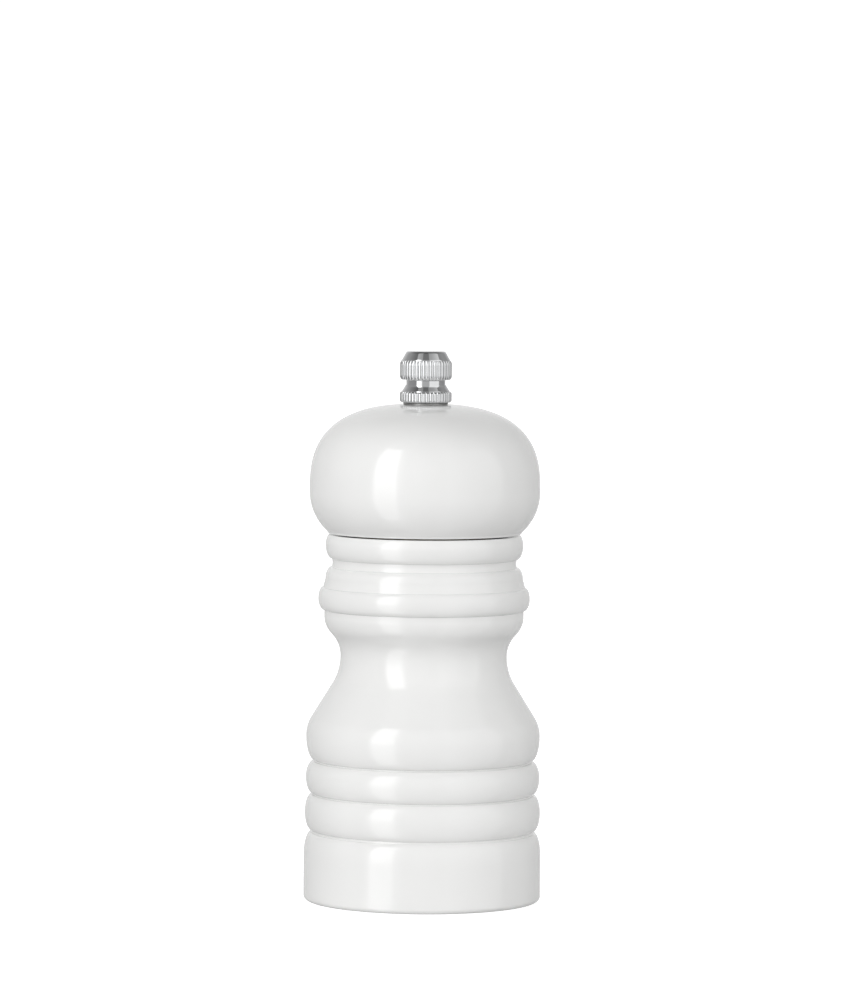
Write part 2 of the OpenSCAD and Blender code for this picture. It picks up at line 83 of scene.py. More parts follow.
def ogee(r0, z0, r1, z1, curve0, curve1, steps=16):
    """S-curve between two upright walls: two arcs and the line that touches both."""
    side = 1 if r1 > r0 else -1
    out, up = abs(r1 - r0), z1 - z0
    most = (out * out + up * up) / (2 * out)
    fitted = min(1, 0.99 * most / (curve0 + curve1))
    c0, c1 = curve0 * fitted, curve1 * fitted
    across = c0 + c1 - out
    turn = math.atan2(up, across) - math.acos((c0 + c1) / math.hypot(across, up))
    angles = [turn * i / steps for i in range(steps + 1)]
    first = [(r0 + side * c0 * (1 - math.cos(a)), z0 + c0 * math.sin(a)) for a in angles]
    second = [(r1 - side * c1 * (1 - math.cos(a)), z1 - c1 * math.sin(a)) for a in reversed(angles)]
    (r0, z0), (r1, z1) = first[-1], second[0]
    straight = [((r0 * (4 - k) + r1 * k) / 4, (z0 * (4 - k) + z1 * k) / 4) for k in (1, 2, 3)]
    return first + straight + second


def crown(r, height, z, fullness, seat_r, steps):
    """Superellipse quarter from the widest ring up to the edge of the seat."""
    last = math.acos((seat_r / r) ** (fullness / 2))
    points = []
    for i in range(steps + 1):
        a = last * i / steps
        points.append((r * math.cos(a) ** (2 / fullness), z + height * math.sin(a) ** (2 / fullness)))
    return points


def line(r0, z0, r1, z1, steps):
    """A straight stretch in even steps."""
    return [(r0 + (r1 - r0) * i / steps, z0 + (z1 - z0) * i / steps) for i in range(steps + 1)]


def top_of(node):
    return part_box(node)[1].z / MM


def bottom_of(node):
    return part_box(node)[0].z / MM


def radius_of(node):
    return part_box(node)[1].x / MM


# ---------------------------------------------------------------- meshes

def new_object(name, mesh):
    piece = bpy.data.objects.new(name, mesh)
    bpy.context.scene.collection.objects.link(piece)
    return piece


def lathe(name, stretches, segments=144, closed=True):
    """Turns stretches of (radius, height) points round Z. Each stretch is (points, material slot number).

    A closed outline joins its last point to its first; an open one starts and ends on the axis.
    """
    points, slots = [], []
    for stretch, slot in stretches:
        for point in stretch:
            if points and math.dist(points[-1], point) < 1e-4:
                slots[-1] = slot
                continue
            points.append(point)
            slots.append(slot)
    if closed and math.dist(points[0], points[-1]) < 1e-4:
        points.pop()
        slots.pop()
    bm = bmesh.new()
    rings = []
    for r, z in points:
        if r < 1e-5:
            rings.append([bm.verts.new((0, 0, z * MM))])
            continue
        ring = []
        for k in range(segments):
            a = TURN * k / segments
            ring.append(bm.verts.new((r * MM * math.cos(a), r * MM * math.sin(a), z * MM)))
        rings.append(ring)
    pairs = list(zip(range(len(rings) - 1), range(1, len(rings))))
    if closed:
        pairs.append((len(rings) - 1, 0))
    for i, j in pairs:
        low, high = rings[i], rings[j]
        for k in range(segments):
            n = (k + 1) % segments
            if len(low) == 1 and len(high) == 1:
                continue
            if len(low) == 1:
                corners = [low[0], high[n], high[k]]
            elif len(high) == 1:
                corners = [low[k], low[n], high[0]]
            else:
                corners = [low[k], low[n], high[n], high[k]]
            face = bm.faces.new(corners)
            face.material_index = slots[j]
            face.smooth = True
    mesh = bpy.data.meshes.new(name)
    bm.to_mesh(mesh)
    bm.free()
    point_outwards(mesh)
    return new_object(name, mesh)


def point_outwards(mesh):
    """Points every face outwards and shades the mesh smooth between its sharp edges."""
    bm = bmesh.new()
    bm.from_mesh(mesh)
    bmesh.ops.recalc_face_normals(bm, faces=bm.faces)
    bm.to_mesh(mesh)
    bm.free()
    mesh.shade_smooth()
    mesh.set_sharp_from_angle(angle=math.radians(40))


def block(name, low, high, z0, z1, at=(0, 0), turn=0, edge=0):
    """A block round a point of the XY plane: its half sizes at its two heights, its turn and its rounding."""
    bm = bmesh.new()
    corners = []
    for (half_x, half_y), z in ((low, z0), (high, z1)):
        corners += [(sx * half_x, sy * half_y, z) for sx, sy in ((-1, -1), (1, -1), (1, 1), (-1, 1))]
    verts = [bm.verts.new(Vector(corner) * MM) for corner in corners]
    for face in ((3, 2, 1, 0), (4, 5, 6, 7), (0, 1, 5, 4), (1, 2, 6, 5), (2, 3, 7, 6), (3, 0, 4, 7)):
        bm.faces.new([verts[k] for k in face])
    if edge:
        bmesh.ops.bevel(bm, geom=bm.edges, offset=edge * MM, segments=3, profile=0.5, affect="EDGES")
    turned = Matrix.Rotation(math.radians(turn), 4, "Z")
    bm.transform(turned @ Matrix.Translation((at[0] * MM, at[1] * MM, 0)))
    mesh = bpy.data.meshes.new(name)
    bm.to_mesh(mesh)
    bm.free()
    point_outwards(mesh)
    return new_object(name, mesh)


def joined(piece, *others):
    """Adds the other pieces' meshes to the first piece's."""
    bm = bmesh.new()
    for each in (piece, *others):
        bm.from_mesh(each.data)
    for each in others:
        bpy.data.objects.remove(each)
    bm.to_mesh(piece.data)
    bm.free()
    point_outwards(piece.data)
    return piece


def moved(piece, x, y, turn=0):
    """Turns the piece's mesh round Z and moves it."""
    turned = Matrix.Rotation(math.radians(turn), 4, "Z")
    piece.data.transform(Matrix.Translation((x * MM, y * MM, 0)) @ turned)
    return piece


def carved(piece, cutter, operation="DIFFERENCE"):
    """Cuts one closed piece with another, which is then gone."""
    modifier = piece.modifiers.new("carve", "BOOLEAN")
    modifier.operation = operation
    modifier.solver = "EXACT"
    modifier.object = cutter
    bake(piece, modifier)
    bpy.data.objects.remove(cutter)
    return piece


def dress(piece, body, slot, nodes, *materials):
    """Gives a finished piece its materials and its body, and hides the CAD nodes it stands for."""
    for material in materials:
        if material.name not in piece.data.materials:
            piece.data.materials.append(material)
    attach(piece, body)
    if nodes:
        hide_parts(*nodes)
    return piece


# ---------------------------------------------------------------- materials

def linear(hex_colour):
    """sRGB hex to linear RGBA."""
    channels = [int(hex_colour[i:i + 2], 16) / 255 for i in (1, 3, 5)]
    return tuple(c / 12.92 if c <= 0.04045 else ((c + 0.055) / 1.055) ** 2.4 for c in channels) + (1.0,)


def fill(tree, socket, value):
    """Gives a socket its value or its link. A node stands for its first output in use."""
    if isinstance(value, bpy.types.Node):
        value = next(output for output in value.outputs if output.enabled)
    if isinstance(value, bpy.types.NodeSocket):
        tree.links.new(value, socket)
    else:
        socket.default_value = value


def node(tree, kind, inputs=(), stops=(), **settings):
    """Adds a node, sets its properties, fills its inputs by name or in order, and fills its ramp."""
    made = tree.nodes.new(kind)
    for key, value in settings.items():
        setattr(made, key, value)
    for key, value in inputs.items() if isinstance(inputs, dict) else enumerate(inputs):
        fill(tree, made.inputs[key], value)
    for count, (place, tone) in enumerate(stops):
        elements = made.color_ramp.elements
        element = elements[count] if count < 2 else elements.new(place)
        element.position = place
        element.color = linear(tone) if isinstance(tone, str) else (tone, tone, tone, 1)
    return made


def shader(name, **sockets):
    """A new material with one Principled shader, its sockets set by name with _ for a space."""
    material = bpy.data.materials.new(name)
    material.use_nodes = True
    tree = material.node_tree
    principled = tree.nodes["Principled BSDF"]
    for key, value in sockets.items():
        principled.inputs[key.replace("_", " ")].default_value = value
    return material, tree, principled


def stretched(tree, x, y, z):
    """Object coordinates in millimetres, with each axis divided by a grain size."""
    place = node(tree, "ShaderNodeTexCoord")
    return node(tree, "ShaderNodeMapping", {
        "Vector": place.outputs["Object"], "Scale": (1000 / x, 1000 / y, 1000 / z)})


def finish(tree, principled, colour, roughness, relief, relief_mm):
    """Joins a finish's colour, roughness and relief to its shader."""
    bumped = node(tree, "ShaderNodeBump", {"Height": relief, "Distance": relief_mm * MM, "Strength": 1.0})
    for name, made in (("Base Color", colour), ("Roughness", roughness), ("Normal", bumped)):
        fill(tree, principled.inputs[name], made)


def gloss_white_lacquer():
    # Sprayed polyurethane over white primer on turned wood. The eye gets a sharp, wet-looking reflection,
    # a very slight orange peel in it, and the faintest trace of the grain under the paint.
    material, tree, principled = shader("gloss_white_polyurethane_lacquer", IOR=1.5, Coat_Weight=0.25,
                                        Coat_Roughness=0.02, Coat_IOR=1.5)
    shade = node(tree, NOISE, {"Vector": stretched(tree, 24, 24, 60), "Scale": 1.0, "Detail": 2.0})
    colour = node(tree, RAMP, [shade], stops=((0.35, "#E9E9E8"), (0.65, "#EDEDEC")))
    wear = node(tree, NOISE, {"Vector": stretched(tree, 9, 9, 14), "Scale": 1.0, "Detail": 4.0})
    rough = node(tree, SPREAD, {
        "Value": wear, "From Min": 0.3, "From Max": 0.7, "To Min": 0.03, "To Max": 0.05})
    peel = node(tree, NOISE, {"Vector": stretched(tree, 2.6, 2.6, 2.6), "Scale": 1.0, "Detail": 1.0})
    grain = node(tree, NOISE, {"Vector": stretched(tree, 0.9, 0.9, 16), "Scale": 1.0, "Detail": 3.0})
    relief = node(tree, MATH, [grain, 0.3, peel], operation="MULTIPLY_ADD")
    finish(tree, principled, colour, rough, relief, 0.004)
    return material


def bare_rubberwood():
    # Rubberwood left bare where the tool bored it. Pale straw wood with short brown pores drawn out along
    # the grain, which runs up the mill, and fine rings left by the boring tool.
    material, tree, principled = shader("bare_rubberwood_as_bored", IOR=1.45)
    figure = node(tree, NOISE, {"Vector": stretched(tree, 3.2, 3.2, 45), "Scale": 1.0, "Detail": 6.0})
    tone = node(tree, RAMP, [figure], stops=((0.3, "#C79F6C"), (0.7, "#E2C597")))
    pores = node(tree, NOISE, {"Vector": stretched(tree, 0.45, 0.45, 5), "Scale": 1.0, "Detail": 2.0})
    pore_mask = node(tree, SPREAD, {"Value": pores, "From Min": 0.62, "From Max": 0.72})
    colour = node(tree, MIX, {"Factor": pore_mask, "A": tone, "B": linear("#8A6238")}, data_type="RGBA")
    rough = node(tree, SPREAD, {"Value": figure, "To Min": 0.55, "To Max": 0.75})
    rings = node(tree, "ShaderNodeTexWave", {
        "Vector": stretched(tree, 1, 1, 1), "Scale": 0.35, "Distortion": 0.6, "Detail": 2.0},
        wave_type="BANDS", bands_direction="Z")
    relief = node(tree, MATH, [pore_mask, -0.8, rings.outputs["Fac"]], operation="MULTIPLY_ADD")
    finish(tree, principled, colour, rough, relief, 0.03)
    return material


def metal(name, light, dark, rough_low, rough_high, grain, bump_mm):
    """Polished or brushed metal: its tone and roughness wander along a grain of the given size in mm."""
    material, tree, principled = shader(name, Metallic=1.0)
    lines = node(tree, NOISE, {"Vector": stretched(tree, *grain), "Scale": 1.0, "Detail": 4.0})
    colour = node(tree, MIX, {"Factor": lines, "A": linear(dark), "B": linear(light)}, data_type="RGBA")
    rough = node(tree, SPREAD, {
        "Value": lines, "From Min": 0.3, "From Max": 0.7, "To Min": rough_low, "To Max": rough_high})
    finish(tree, principled, colour, rough, lines, bump_mm)
    return material


def bright_chrome():
    # Bright chrome plate on brass. Mirror-like, with only a trace of waviness from the polishing under it.
    return metal("bright_chrome_plate", "#E4E5E6", "#DADBDC", 0.02, 0.05, (1.4, 1.4, 1.4), 0.0008)


def brushed_stainless():
    # Stamped stainless sheet with its rolled-in brushing along X, drawn a little coarse so that it shows.
    return metal("brushed_stainless_sheet", "#C8C8C7", "#A4A4A3", 0.22, 0.42, (14, 0.12, 0.12), 0.004)


def drawn_steel():
    # Bright drawn steel bar. Fine die lines run along the bar.
    return metal("bright_drawn_steel_bar", "#C2C2C0", "#9C9C9B", 0.2, 0.36, (0.1, 0.1, 18), 0.004)


def zinc_plate():
    # Zinc-plated steel, clear passivated. A soft grey sheen with cloudy patches.
    return metal("clear_zinc_plated_steel", "#CFCFCB", "#B3B5B6", 0.25, 0.42, (0.7, 0.7, 0.7), 0.004)


def spring_wire():
    # Hard-drawn spring wire with a thin film of oil. Darker and smoother than the bar.
    return metal("oiled_spring_wire", "#A3A19D", "#83817E", 0.22, 0.34, (0.6, 0.6, 0.6), 0.003)


def black_acetal():
    # Black acetal as moulded. A fine even spark-eroded grain makes the sheen soft.
    material, tree, principled = shader("black_moulded_acetal", IOR=1.48)
    cloud = node(tree, NOISE, {"Vector": stretched(tree, 6, 6, 6), "Scale": 1.0, "Detail": 2.0})
    colour = node(tree, MIX, {
        "Factor": cloud, "A": linear("#141415"), "B": linear("#202022")}, data_type="RGBA")
    rough = node(tree, SPREAD, {"Value": cloud, "To Min": 0.36, "To Max": 0.5})
    texture = node(tree, NOISE, {"Vector": stretched(tree, 0.3, 0.3, 0.3), "Scale": 1.0, "Detail": 3.0})
    finish(tree, principled, colour, rough, texture, 0.01)
    return material


def fired_alumina():
    # Unglazed alumina, pressed and fired. Off-white and matt, with a fine speckle and a dry sheen.
    material, tree, principled = shader("unglazed_alumina_ceramic", IOR=1.6, Subsurface_Weight=0.1,
                                        Subsurface_Scale=0.0006)
    speckle = node(tree, NOISE, {"Vector": stretched(tree, 0.35, 0.35, 0.35), "Scale": 1.0, "Detail": 4.0})
    colour = node(tree, RAMP, [speckle], stops=((0.3, "#CFC7B6"), (0.6, "#EAE5DA")))
    rough = node(tree, SPREAD, {"Value": speckle, "To Min": 0.42, "To Max": 0.62})
    finish(tree, principled, colour, rough, speckle, 0.012)
    return material


# ---------------------------------------------------------------- Geometry Nodes

def tree_with_inputs(name, inputs):
    """A Geometry Nodes tree with a Geometry socket and named inputs, each given with its default."""
    tree = bpy.data.node_groups.new(name, "GeometryNodeTree")
    for way in ("INPUT", "OUTPUT"):
        tree.interface.new_socket("Geometry", in_out=way, socket_type="NodeSocketGeometry")
    for key, value in inputs.items():
        kind = "NodeSocketInt" if isinstance(value, int) else "NodeSocketFloat"
        tree.interface.new_socket(key, in_out="INPUT", socket_type=kind).default_value = value
    return tree, node(tree, "NodeGroupInput").outputs, node(tree, "NodeGroupOutput")


def sheet(tree, columns, rows):
    """A sheet of points, and each point's place across and along it from 0 to 1."""
    mesh = node(tree, "GeometryNodeMeshGrid", {
        "Size X": 1.0, "Size Y": 1.0, "Vertices X": columns, "Vertices Y": rows})
    place = node(tree, SPLIT, [node(tree, "GeometryNodeInputPosition")])
    across, along = (node(tree, MATH, [place.outputs[axis], 0.5], operation="ADD") for axis in "XY")
    return mesh, across, along


def open_rows(tree, along, rows):
    """For a tube closed by its first and last rows: the place from end to end, and 0 on those two rows."""
    last = node(tree, MATH, [rows, 1.0], operation="SUBTRACT")
    row = node(tree, MATH, [along, last], operation="MULTIPLY")
    last_open = node(tree, MATH, [rows, 2.0], operation="SUBTRACT")
    place = node(tree, SPREAD, {"Value": row, "From Min": 1.0, "From Max": last_open})
    after_open = node(tree, MATH, [rows, 1.5], operation="SUBTRACT")
    not_first = node(tree, MATH, [row, 0.5], operation="GREATER_THAN")
    not_last = node(tree, MATH, [row, after_open], operation="LESS_THAN")
    return place, node(tree, MATH, [not_first, not_last], operation="MULTIPLY")


def bend_round(tree, mesh, radius, place_round, height):
    """Places a sheet's points round Z, and welds its seam and its ends."""
    angle = node(tree, MATH, [place_round, TURN], operation="MULTIPLY")
    x, y = (node(tree, MATH, [radius, node(tree, MATH, [angle], operation=wave)], operation="MULTIPLY")
            for wave in ("COSINE", "SINE"))
    spot = node(tree, JOIN, [x, y, height])
    bent = node(tree, "GeometryNodeSetPosition", {"Geometry": mesh, "Position": spot})
    return node(tree, "GeometryNodeMergeByDistance", {"Geometry": bent, "Distance": WELD})


def end_tree(tree, output, material, *geometry):
    """Joins what the tree made, realizes its instances and sets its material."""
    together = node(tree, "GeometryNodeJoinGeometry")
    for part in geometry:
        fill(tree, together.inputs["Geometry"], part)
    real = node(tree, "GeometryNodeRealizeInstances", {"Geometry": together})
    painted = node(tree, "GeometryNodeSetMaterial", {"Geometry": real, "Material": material})
    fill(tree, output.inputs["Geometry"], painted)
    return tree


def bake(piece, modifier):
    """Turns the piece, with this modifier, into a plain mesh with its faces pointing out."""
    graph = bpy.context.evaluated_depsgraph_get()
    made = bpy.data.meshes.new_from_object(piece.evaluated_get(graph), depsgraph=graph)
    piece.modifiers.remove(modifier)
    piece.data = made
    point_outwards(made)
    return piece


def grow(piece, tree, **values):
    """Runs a tree on a piece. Each value is given by its input's name with _ for a space."""
    modifier = piece.modifiers.new(tree.name, "NODES")
    modifier.node_group = tree
    for item in tree.interface.items_tree:
        key = item.name.replace(" ", "_")
        if item.item_type == "SOCKET" and item.in_out == "INPUT" and key in values:
            modifier[item.identifier] = values[key]
    return bake(piece, modifier)


def ribs_tree(name, material):
    """Bands of half-round ribs round Z, each band closed at both ends against the metal it stands on."""
    tree, given, output = tree_with_inputs(name, {
        "Ribs": 40, "Radius": 0.006, "Depth": 0.0003, "From": 0.0, "To": 0.002, "Edge": 0.0003,
        "Root": 0.005})
    rows, columns_a_rib = 11, 12.0
    columns = node(tree, MATH, [given["Ribs"], columns_a_rib, 1.0], operation="MULTIPLY_ADD")
    mesh, along, up = sheet(tree, columns, rows)
    place, inside = open_rows(tree, up, float(rows))
    # Across each rib, from -1 to 1, and how far an arc has fallen there; the 1.001 keeps its ends from a cusp
    rib = node(tree, MATH, [along, given["Ribs"]], operation="MULTIPLY")
    part = node(tree, MATH, [rib], operation="FRACT")
    across = node(tree, MATH, [part, 2.0, -1.0], operation="MULTIPLY_ADD")
    square = node(tree, MATH, [across, 2.0], operation="POWER")
    rest = node(tree, MATH, [1.001, square], operation="SUBTRACT")
    arc = node(tree, MATH, [rest], operation="SQRT")
    fall = node(tree, MATH, [1.0, arc], operation="SUBTRACT")
    # How far the rib has sunk near the band's two edges
    height = node(tree, MATH, [given["To"], given["From"]], operation="SUBTRACT")
    from_top = node(tree, MATH, [1.0, place], operation="SUBTRACT")
    nearer = node(tree, MATH, [place, from_top], operation="MINIMUM")
    from_end = node(tree, MATH, [height, nearer], operation="MULTIPLY")
    edges = node(tree, MATH, [from_end, given["Edge"]], operation="DIVIDE")
    risen = node(tree, MATH, [1.0, edges], operation="MINIMUM")
    sunk = node(tree, MATH, [1.0, risen], operation="SUBTRACT")
    eased = node(tree, MATH, [sunk, sunk], operation="MULTIPLY")
    drop = node(tree, MATH, [fall, eased], operation="MAXIMUM")
    depth = node(tree, MATH, [drop, given["Depth"]], operation="MULTIPLY")
    crest = node(tree, MATH, [given["Radius"], depth], operation="SUBTRACT")
    open_crest = node(tree, MATH, [crest, inside], operation="MULTIPLY")
    radius = node(tree, MATH, [given["Root"], open_crest], operation="MAXIMUM")
    level = node(tree, MATH, [place, height, given["From"]], operation="MULTIPLY_ADD")
    band = bend_round(tree, mesh, radius, along, level)
    return end_tree(tree, output, material, given["Geometry"], band)


def thread_tree(name, material):
    """A right-hand screw thread round Z, with flat ends."""
    tree, given, output = tree_with_inputs(name, {
        "Radius": 0.0025, "Depth": 0.0004, "Pitch": 0.0008, "From": 0.0, "To": 0.01, "Chamfer": 0.0004})
    columns, rows_a_turn, end_rows = 41, 8.0, 3.0
    length = node(tree, MATH, [given["To"], given["From"]], operation="SUBTRACT")
    turns = node(tree, MATH, [length, given["Pitch"]], operation="DIVIDE")
    wanted_rows = node(tree, MATH, [turns, rows_a_turn, end_rows], operation="MULTIPLY_ADD")
    rows = node(tree, MATH, [wanted_rows], operation="ROUND")
    mesh, around, along = sheet(tree, columns, rows)
    place, inside = open_rows(tree, along, rows)
    # The place within one pitch, and how deep the V is cut there
    up = node(tree, MATH, [place, length], operation="MULTIPLY")
    climbed = node(tree, MATH, [up, given["Pitch"]], operation="DIVIDE")
    behind = node(tree, MATH, [climbed, around], operation="SUBTRACT")
    phase = node(tree, MATH, [behind], operation="FRACT")
    slope = node(tree, MATH, [phase, 2.0, -1.0], operation="MULTIPLY_ADD")
    valley = node(tree, MATH, [slope], operation="ABSOLUTE")
    depth = node(tree, MATH, [valley, given["Depth"]], operation="MULTIPLY")
    cut = node(tree, MATH, [given["Radius"], depth], operation="SUBTRACT")
    # The chamfer at each end
    from_top = node(tree, MATH, [length, up], operation="SUBTRACT")
    from_end = node(tree, MATH, [up, from_top], operation="MINIMUM")
    end_radius = node(tree, MATH, [given["Radius"], given["Chamfer"]], operation="SUBTRACT")
    limit = node(tree, MATH, [end_radius, from_end], operation="ADD")
    lesser = node(tree, MATH, [cut, limit], operation="MINIMUM")
    radius = node(tree, MATH, [lesser, inside], operation="MULTIPLY")
    level = node(tree, MATH, [up, given["From"]], operation="ADD")
    made = bend_round(tree, mesh, radius, around, level)
    return end_tree(tree, output, material, given["Geometry"], made)


def coil_tree(name, material):
    """A compression spring round Z whose first and last turns lie closed."""
    tree, given, output = tree_with_inputs(name, {
        "Coil radius": 0.0046, "Wire": 0.001, "From": 0.0, "To": 0.01, "Turns": 5.5,
        "Closed pitch": 0.00102})
    columns, rows_a_turn, end_rows = 15, 44.0, 3.0
    wanted_rows = node(tree, MATH, [given["Turns"], rows_a_turn, end_rows], operation="MULTIPLY_ADD")
    rows = node(tree, MATH, [wanted_rows], operation="ROUND")
    mesh, around, along = sheet(tree, columns, rows)
    place, inside = open_rows(tree, along, rows)
    turn = node(tree, MATH, [place, given["Turns"]], operation="MULTIPLY")
    # The rise of the free turns, which is what the two closed ones leave
    free_turns = node(tree, MATH, [given["Turns"], 2.0], operation="SUBTRACT")
    span = node(tree, MATH, [given["To"], given["From"]], operation="SUBTRACT")
    rise = node(tree, MATH, [span, given["Wire"]], operation="SUBTRACT")
    free_rise = node(tree, MATH, [given["Closed pitch"], -2.0, rise], operation="MULTIPLY_ADD")
    last_free = node(tree, MATH, [given["Turns"], 1.0], operation="SUBTRACT")
    free = node(tree, SPREAD, {
        "Value": turn, "From Min": 1.0, "From Max": last_free, "To Max": free_rise})
    # The rise of the first turn and of the last one
    first_turn = node(tree, MATH, [turn, 1.0], operation="MINIMUM")
    low = node(tree, MATH, [first_turn, given["Closed pitch"]], operation="MULTIPLY")
    past_free = node(tree, MATH, [turn, free_turns], operation="SUBTRACT")
    past_last = node(tree, MATH, [past_free, 1.0], operation="SUBTRACT")
    last_turn = node(tree, MATH, [0.0, past_last], operation="MAXIMUM")
    high = node(tree, MATH, [given["Closed pitch"], last_turn], operation="MULTIPLY")
    # The wire's middle, and the ring of points round it
    lower_rise = node(tree, MATH, [low, free], operation="ADD")
    start = node(tree, MATH, [given["Wire"], 0.5, given["From"]], operation="MULTIPLY_ADD")
    upper_rise = node(tree, MATH, [high, start], operation="ADD")
    middle = node(tree, MATH, [lower_rise, upper_rise], operation="ADD")
    half_wire = node(tree, MATH, [given["Wire"], 0.5], operation="MULTIPLY")
    wire = node(tree, MATH, [inside, half_wire], operation="MULTIPLY")
    side = node(tree, MATH, [around, TURN], operation="MULTIPLY")
    out, over = (node(tree, MATH, [side], operation=wave) for wave in ("COSINE", "SINE"))
    radius = node(tree, MATH, [wire, out, given["Coil radius"]], operation="MULTIPLY_ADD")
    level = node(tree, MATH, [wire, over, middle], operation="MULTIPLY_ADD")
    made = bend_round(tree, mesh, radius, turn, level)
    return end_tree(tree, output, material, made)


def teeth_tree(name, material):
    """Cuts slanting teeth into a turned wall between two heights; a negative depth cuts outwards."""
    tree, given, output = tree_with_inputs(name, {
        "Teeth": 40, "Depth": 0.0004, "Slant": 200.0, "From": 0.0, "To": 0.004, "Fade": 0.0003,
        "Least radius": 0.008, "Greatest radius": 0.012})
    place = node(tree, SPLIT, [node(tree, "GeometryNodeInputPosition")])
    x, y, z = (place.outputs[axis] for axis in "XYZ")
    x_squared, y_squared = (node(tree, MATH, [side, side], operation="MULTIPLY") for side in (x, y))
    squared = node(tree, MATH, [x_squared, y_squared], operation="ADD")
    radius = node(tree, MATH, [squared], operation="SQRT")
    angle = node(tree, MATH, [y, x], operation="ARCTAN2")
    place_round = node(tree, MATH, [angle, TURN], operation="DIVIDE")
    # A tooth bites in steeply and leaves gently
    tooth = node(tree, MATH, [place_round, given["Teeth"]], operation="MULTIPLY")
    up = node(tree, MATH, [z, given["From"]], operation="SUBTRACT")
    phase = node(tree, MATH, [up, given["Slant"], tooth], operation="MULTIPLY_ADD")
    turned = node(tree, MATH, [phase, TURN], operation="MULTIPLY")
    swing = node(tree, MATH, [turned], operation="SINE")
    leaning = node(tree, MATH, [swing, 0.6, turned], operation="MULTIPLY_ADD")
    wave = node(tree, MATH, [leaning], operation="COSINE")
    bite = node(tree, MATH, [wave, -0.5, 0.5], operation="MULTIPLY_ADD")
    # It fades out at the wall's two ends, and only the wall between the two radii is cut
    from_top = node(tree, MATH, [given["To"], z], operation="SUBTRACT")
    from_end = node(tree, MATH, [up, from_top], operation="MINIMUM")
    share_in = node(tree, MATH, [from_end, given["Fade"]], operation="DIVIDE")
    risen = node(tree, MATH, [1.0, share_in], operation="MINIMUM")
    fade = node(tree, MATH, [0.0, risen], operation="MAXIMUM")
    outside = node(tree, MATH, [radius, given["Least radius"]], operation="GREATER_THAN")
    within = node(tree, MATH, [radius, given["Greatest radius"]], operation="LESS_THAN")
    on_wall = node(tree, MATH, [outside, within], operation="MULTIPLY")
    faded = node(tree, MATH, [bite, fade], operation="MULTIPLY")
    depth = node(tree, MATH, [on_wall, given["Depth"]], operation="MULTIPLY")
    cut = node(tree, MATH, [faded, depth], operation="MULTIPLY")
    safe_radius = node(tree, MATH, [radius, WELD], operation="MAXIMUM")
    lost = node(tree, MATH, [cut, safe_radius], operation="DIVIDE")
    kept = node(tree, MATH, [1.0, lost], operation="SUBTRACT")
    new_x, new_y = (node(tree, MATH, [side, kept], operation="MULTIPLY") for side in (x, y))
    spot = node(tree, JOIN, [new_x, new_y, z])
    made = node(tree, "GeometryNodeSetPosition", {"Geometry": given["Geometry"], "Position": spot})
    return end_tree(tree, output, material, made)


def around_tree(name, material):
    """Repeats the piece evenly round Z."""
    tree, given, output = tree_with_inputs(name, {"Count": 2})
    points = node(tree, "GeometryNodePoints", {"Count": given["Count"]})
    step = node(tree, MATH, [TURN, given["Count"]], operation="DIVIDE")
    angle = node(tree, MATH, [node(tree, "GeometryNodeInputIndex"), step], operation="MULTIPLY")
    turn = node(tree, JOIN, {"Z": angle})
    copies = node(tree, "GeometryNodeInstanceOnPoints", {
        "Points": points, "Instance": given["Geometry"], "Rotation": turn})
    return end_tree(tree, output, material, copies)


lacquer = gloss_white_lacquer()
wood = bare_rubberwood()
chrome = bright_chrome()
stainless = brushed_stainless()
bar_steel = drawn_steel()
zinc = zinc_plate()
spring_steel = spring_wire()
acetal = black_acetal()
alumina = fired_alumina()


# ---------------------------------------------------------------- the wooden pieces

# Turned rings of the body, from the base up: radii and heights in millimetres
BASE_R, BASE_EDGE, BASE_H, SHOULDER_H = 27.48, 1.2, 10.7, 5.2
LOW_GROOVE_R, MID_GROOVE_R, HIGH_GROOVE_R = 25.8, 25.6, 25.2
LOW_GROOVE_H, MID_GROOVE_H, HIGH_GROOVE_H = 0.5, 0.3, 0.3
LOW_BEAD_R, LOW_BEAD_H, HIGH_BEAD_R, HIGH_BEAD_H = 27.3, 8.3, 27.1, 7.4
BELLY_R, BELLY_FOOT_H, BELLY_H = 27.1, 5.6, 18.4
NECK_R, FLARE_H, STEP_R, STEP_H = 19.3, 9.4, 23.1, 1.4
COLLAR_R, COLLAR_H, BAND_R, BAND_TOP_R, BAND_H, BAND_ROUND_H = 24.5, 5.3, 23.4, 22.9, 1.9, 2.8
COVE_R, COVE_H, RIM_R, RIM_ROUND_H, RIM_TOP_R, RIM_H = 21.4, 1.9, 22.9, 3.3, 22.4, 2.3
BELLY_CURVE, NECK_CURVE, FLARE_CURVE, FLARE_SHOULDER = 8.2, 12.2, 7.2, 5.9
LOW_GROOVE_DEPTH, COVE_DEPTH, FLARE_LIFT, RIM_EDGE = 0.06, 0.1, 0.2, 0.25

# Head
HEAD_R, HEAD_LOW_H, HEAD_CROWN_H, HEAD_LOW_CURVE, HEAD_FULLNESS = 26.7, 9.8, 20.2, 12.7, 2.7
HEAD_SEAT_R, TENON_R, HEAD_EDGE, HEAD_BORE_R, HEAD_GAP, BORE_EDGE = 6.4, 15.5, 0.4, 3.84, 0.3, 0.3

# Bores of the body
RETAINER_POCKET_R, HOUSING_POCKET_R, RESERVOIR_R, SOCKET_R = 22.3, 17.0, 13.5, 15.75
SOCKET_GAP, MOUTH_W, MOUTH_H, FOOT_EDGE, HOUSING_GAP = 0.4, 0.5, 0.6, 0.5, 0.05

body_top = top_of("body_shell")
retainer_top = top_of("retainer_ring")
housing_top = top_of("mechanism_housing")
tenon_z = bottom_of("head_knob")
head_z = body_top + HEAD_GAP


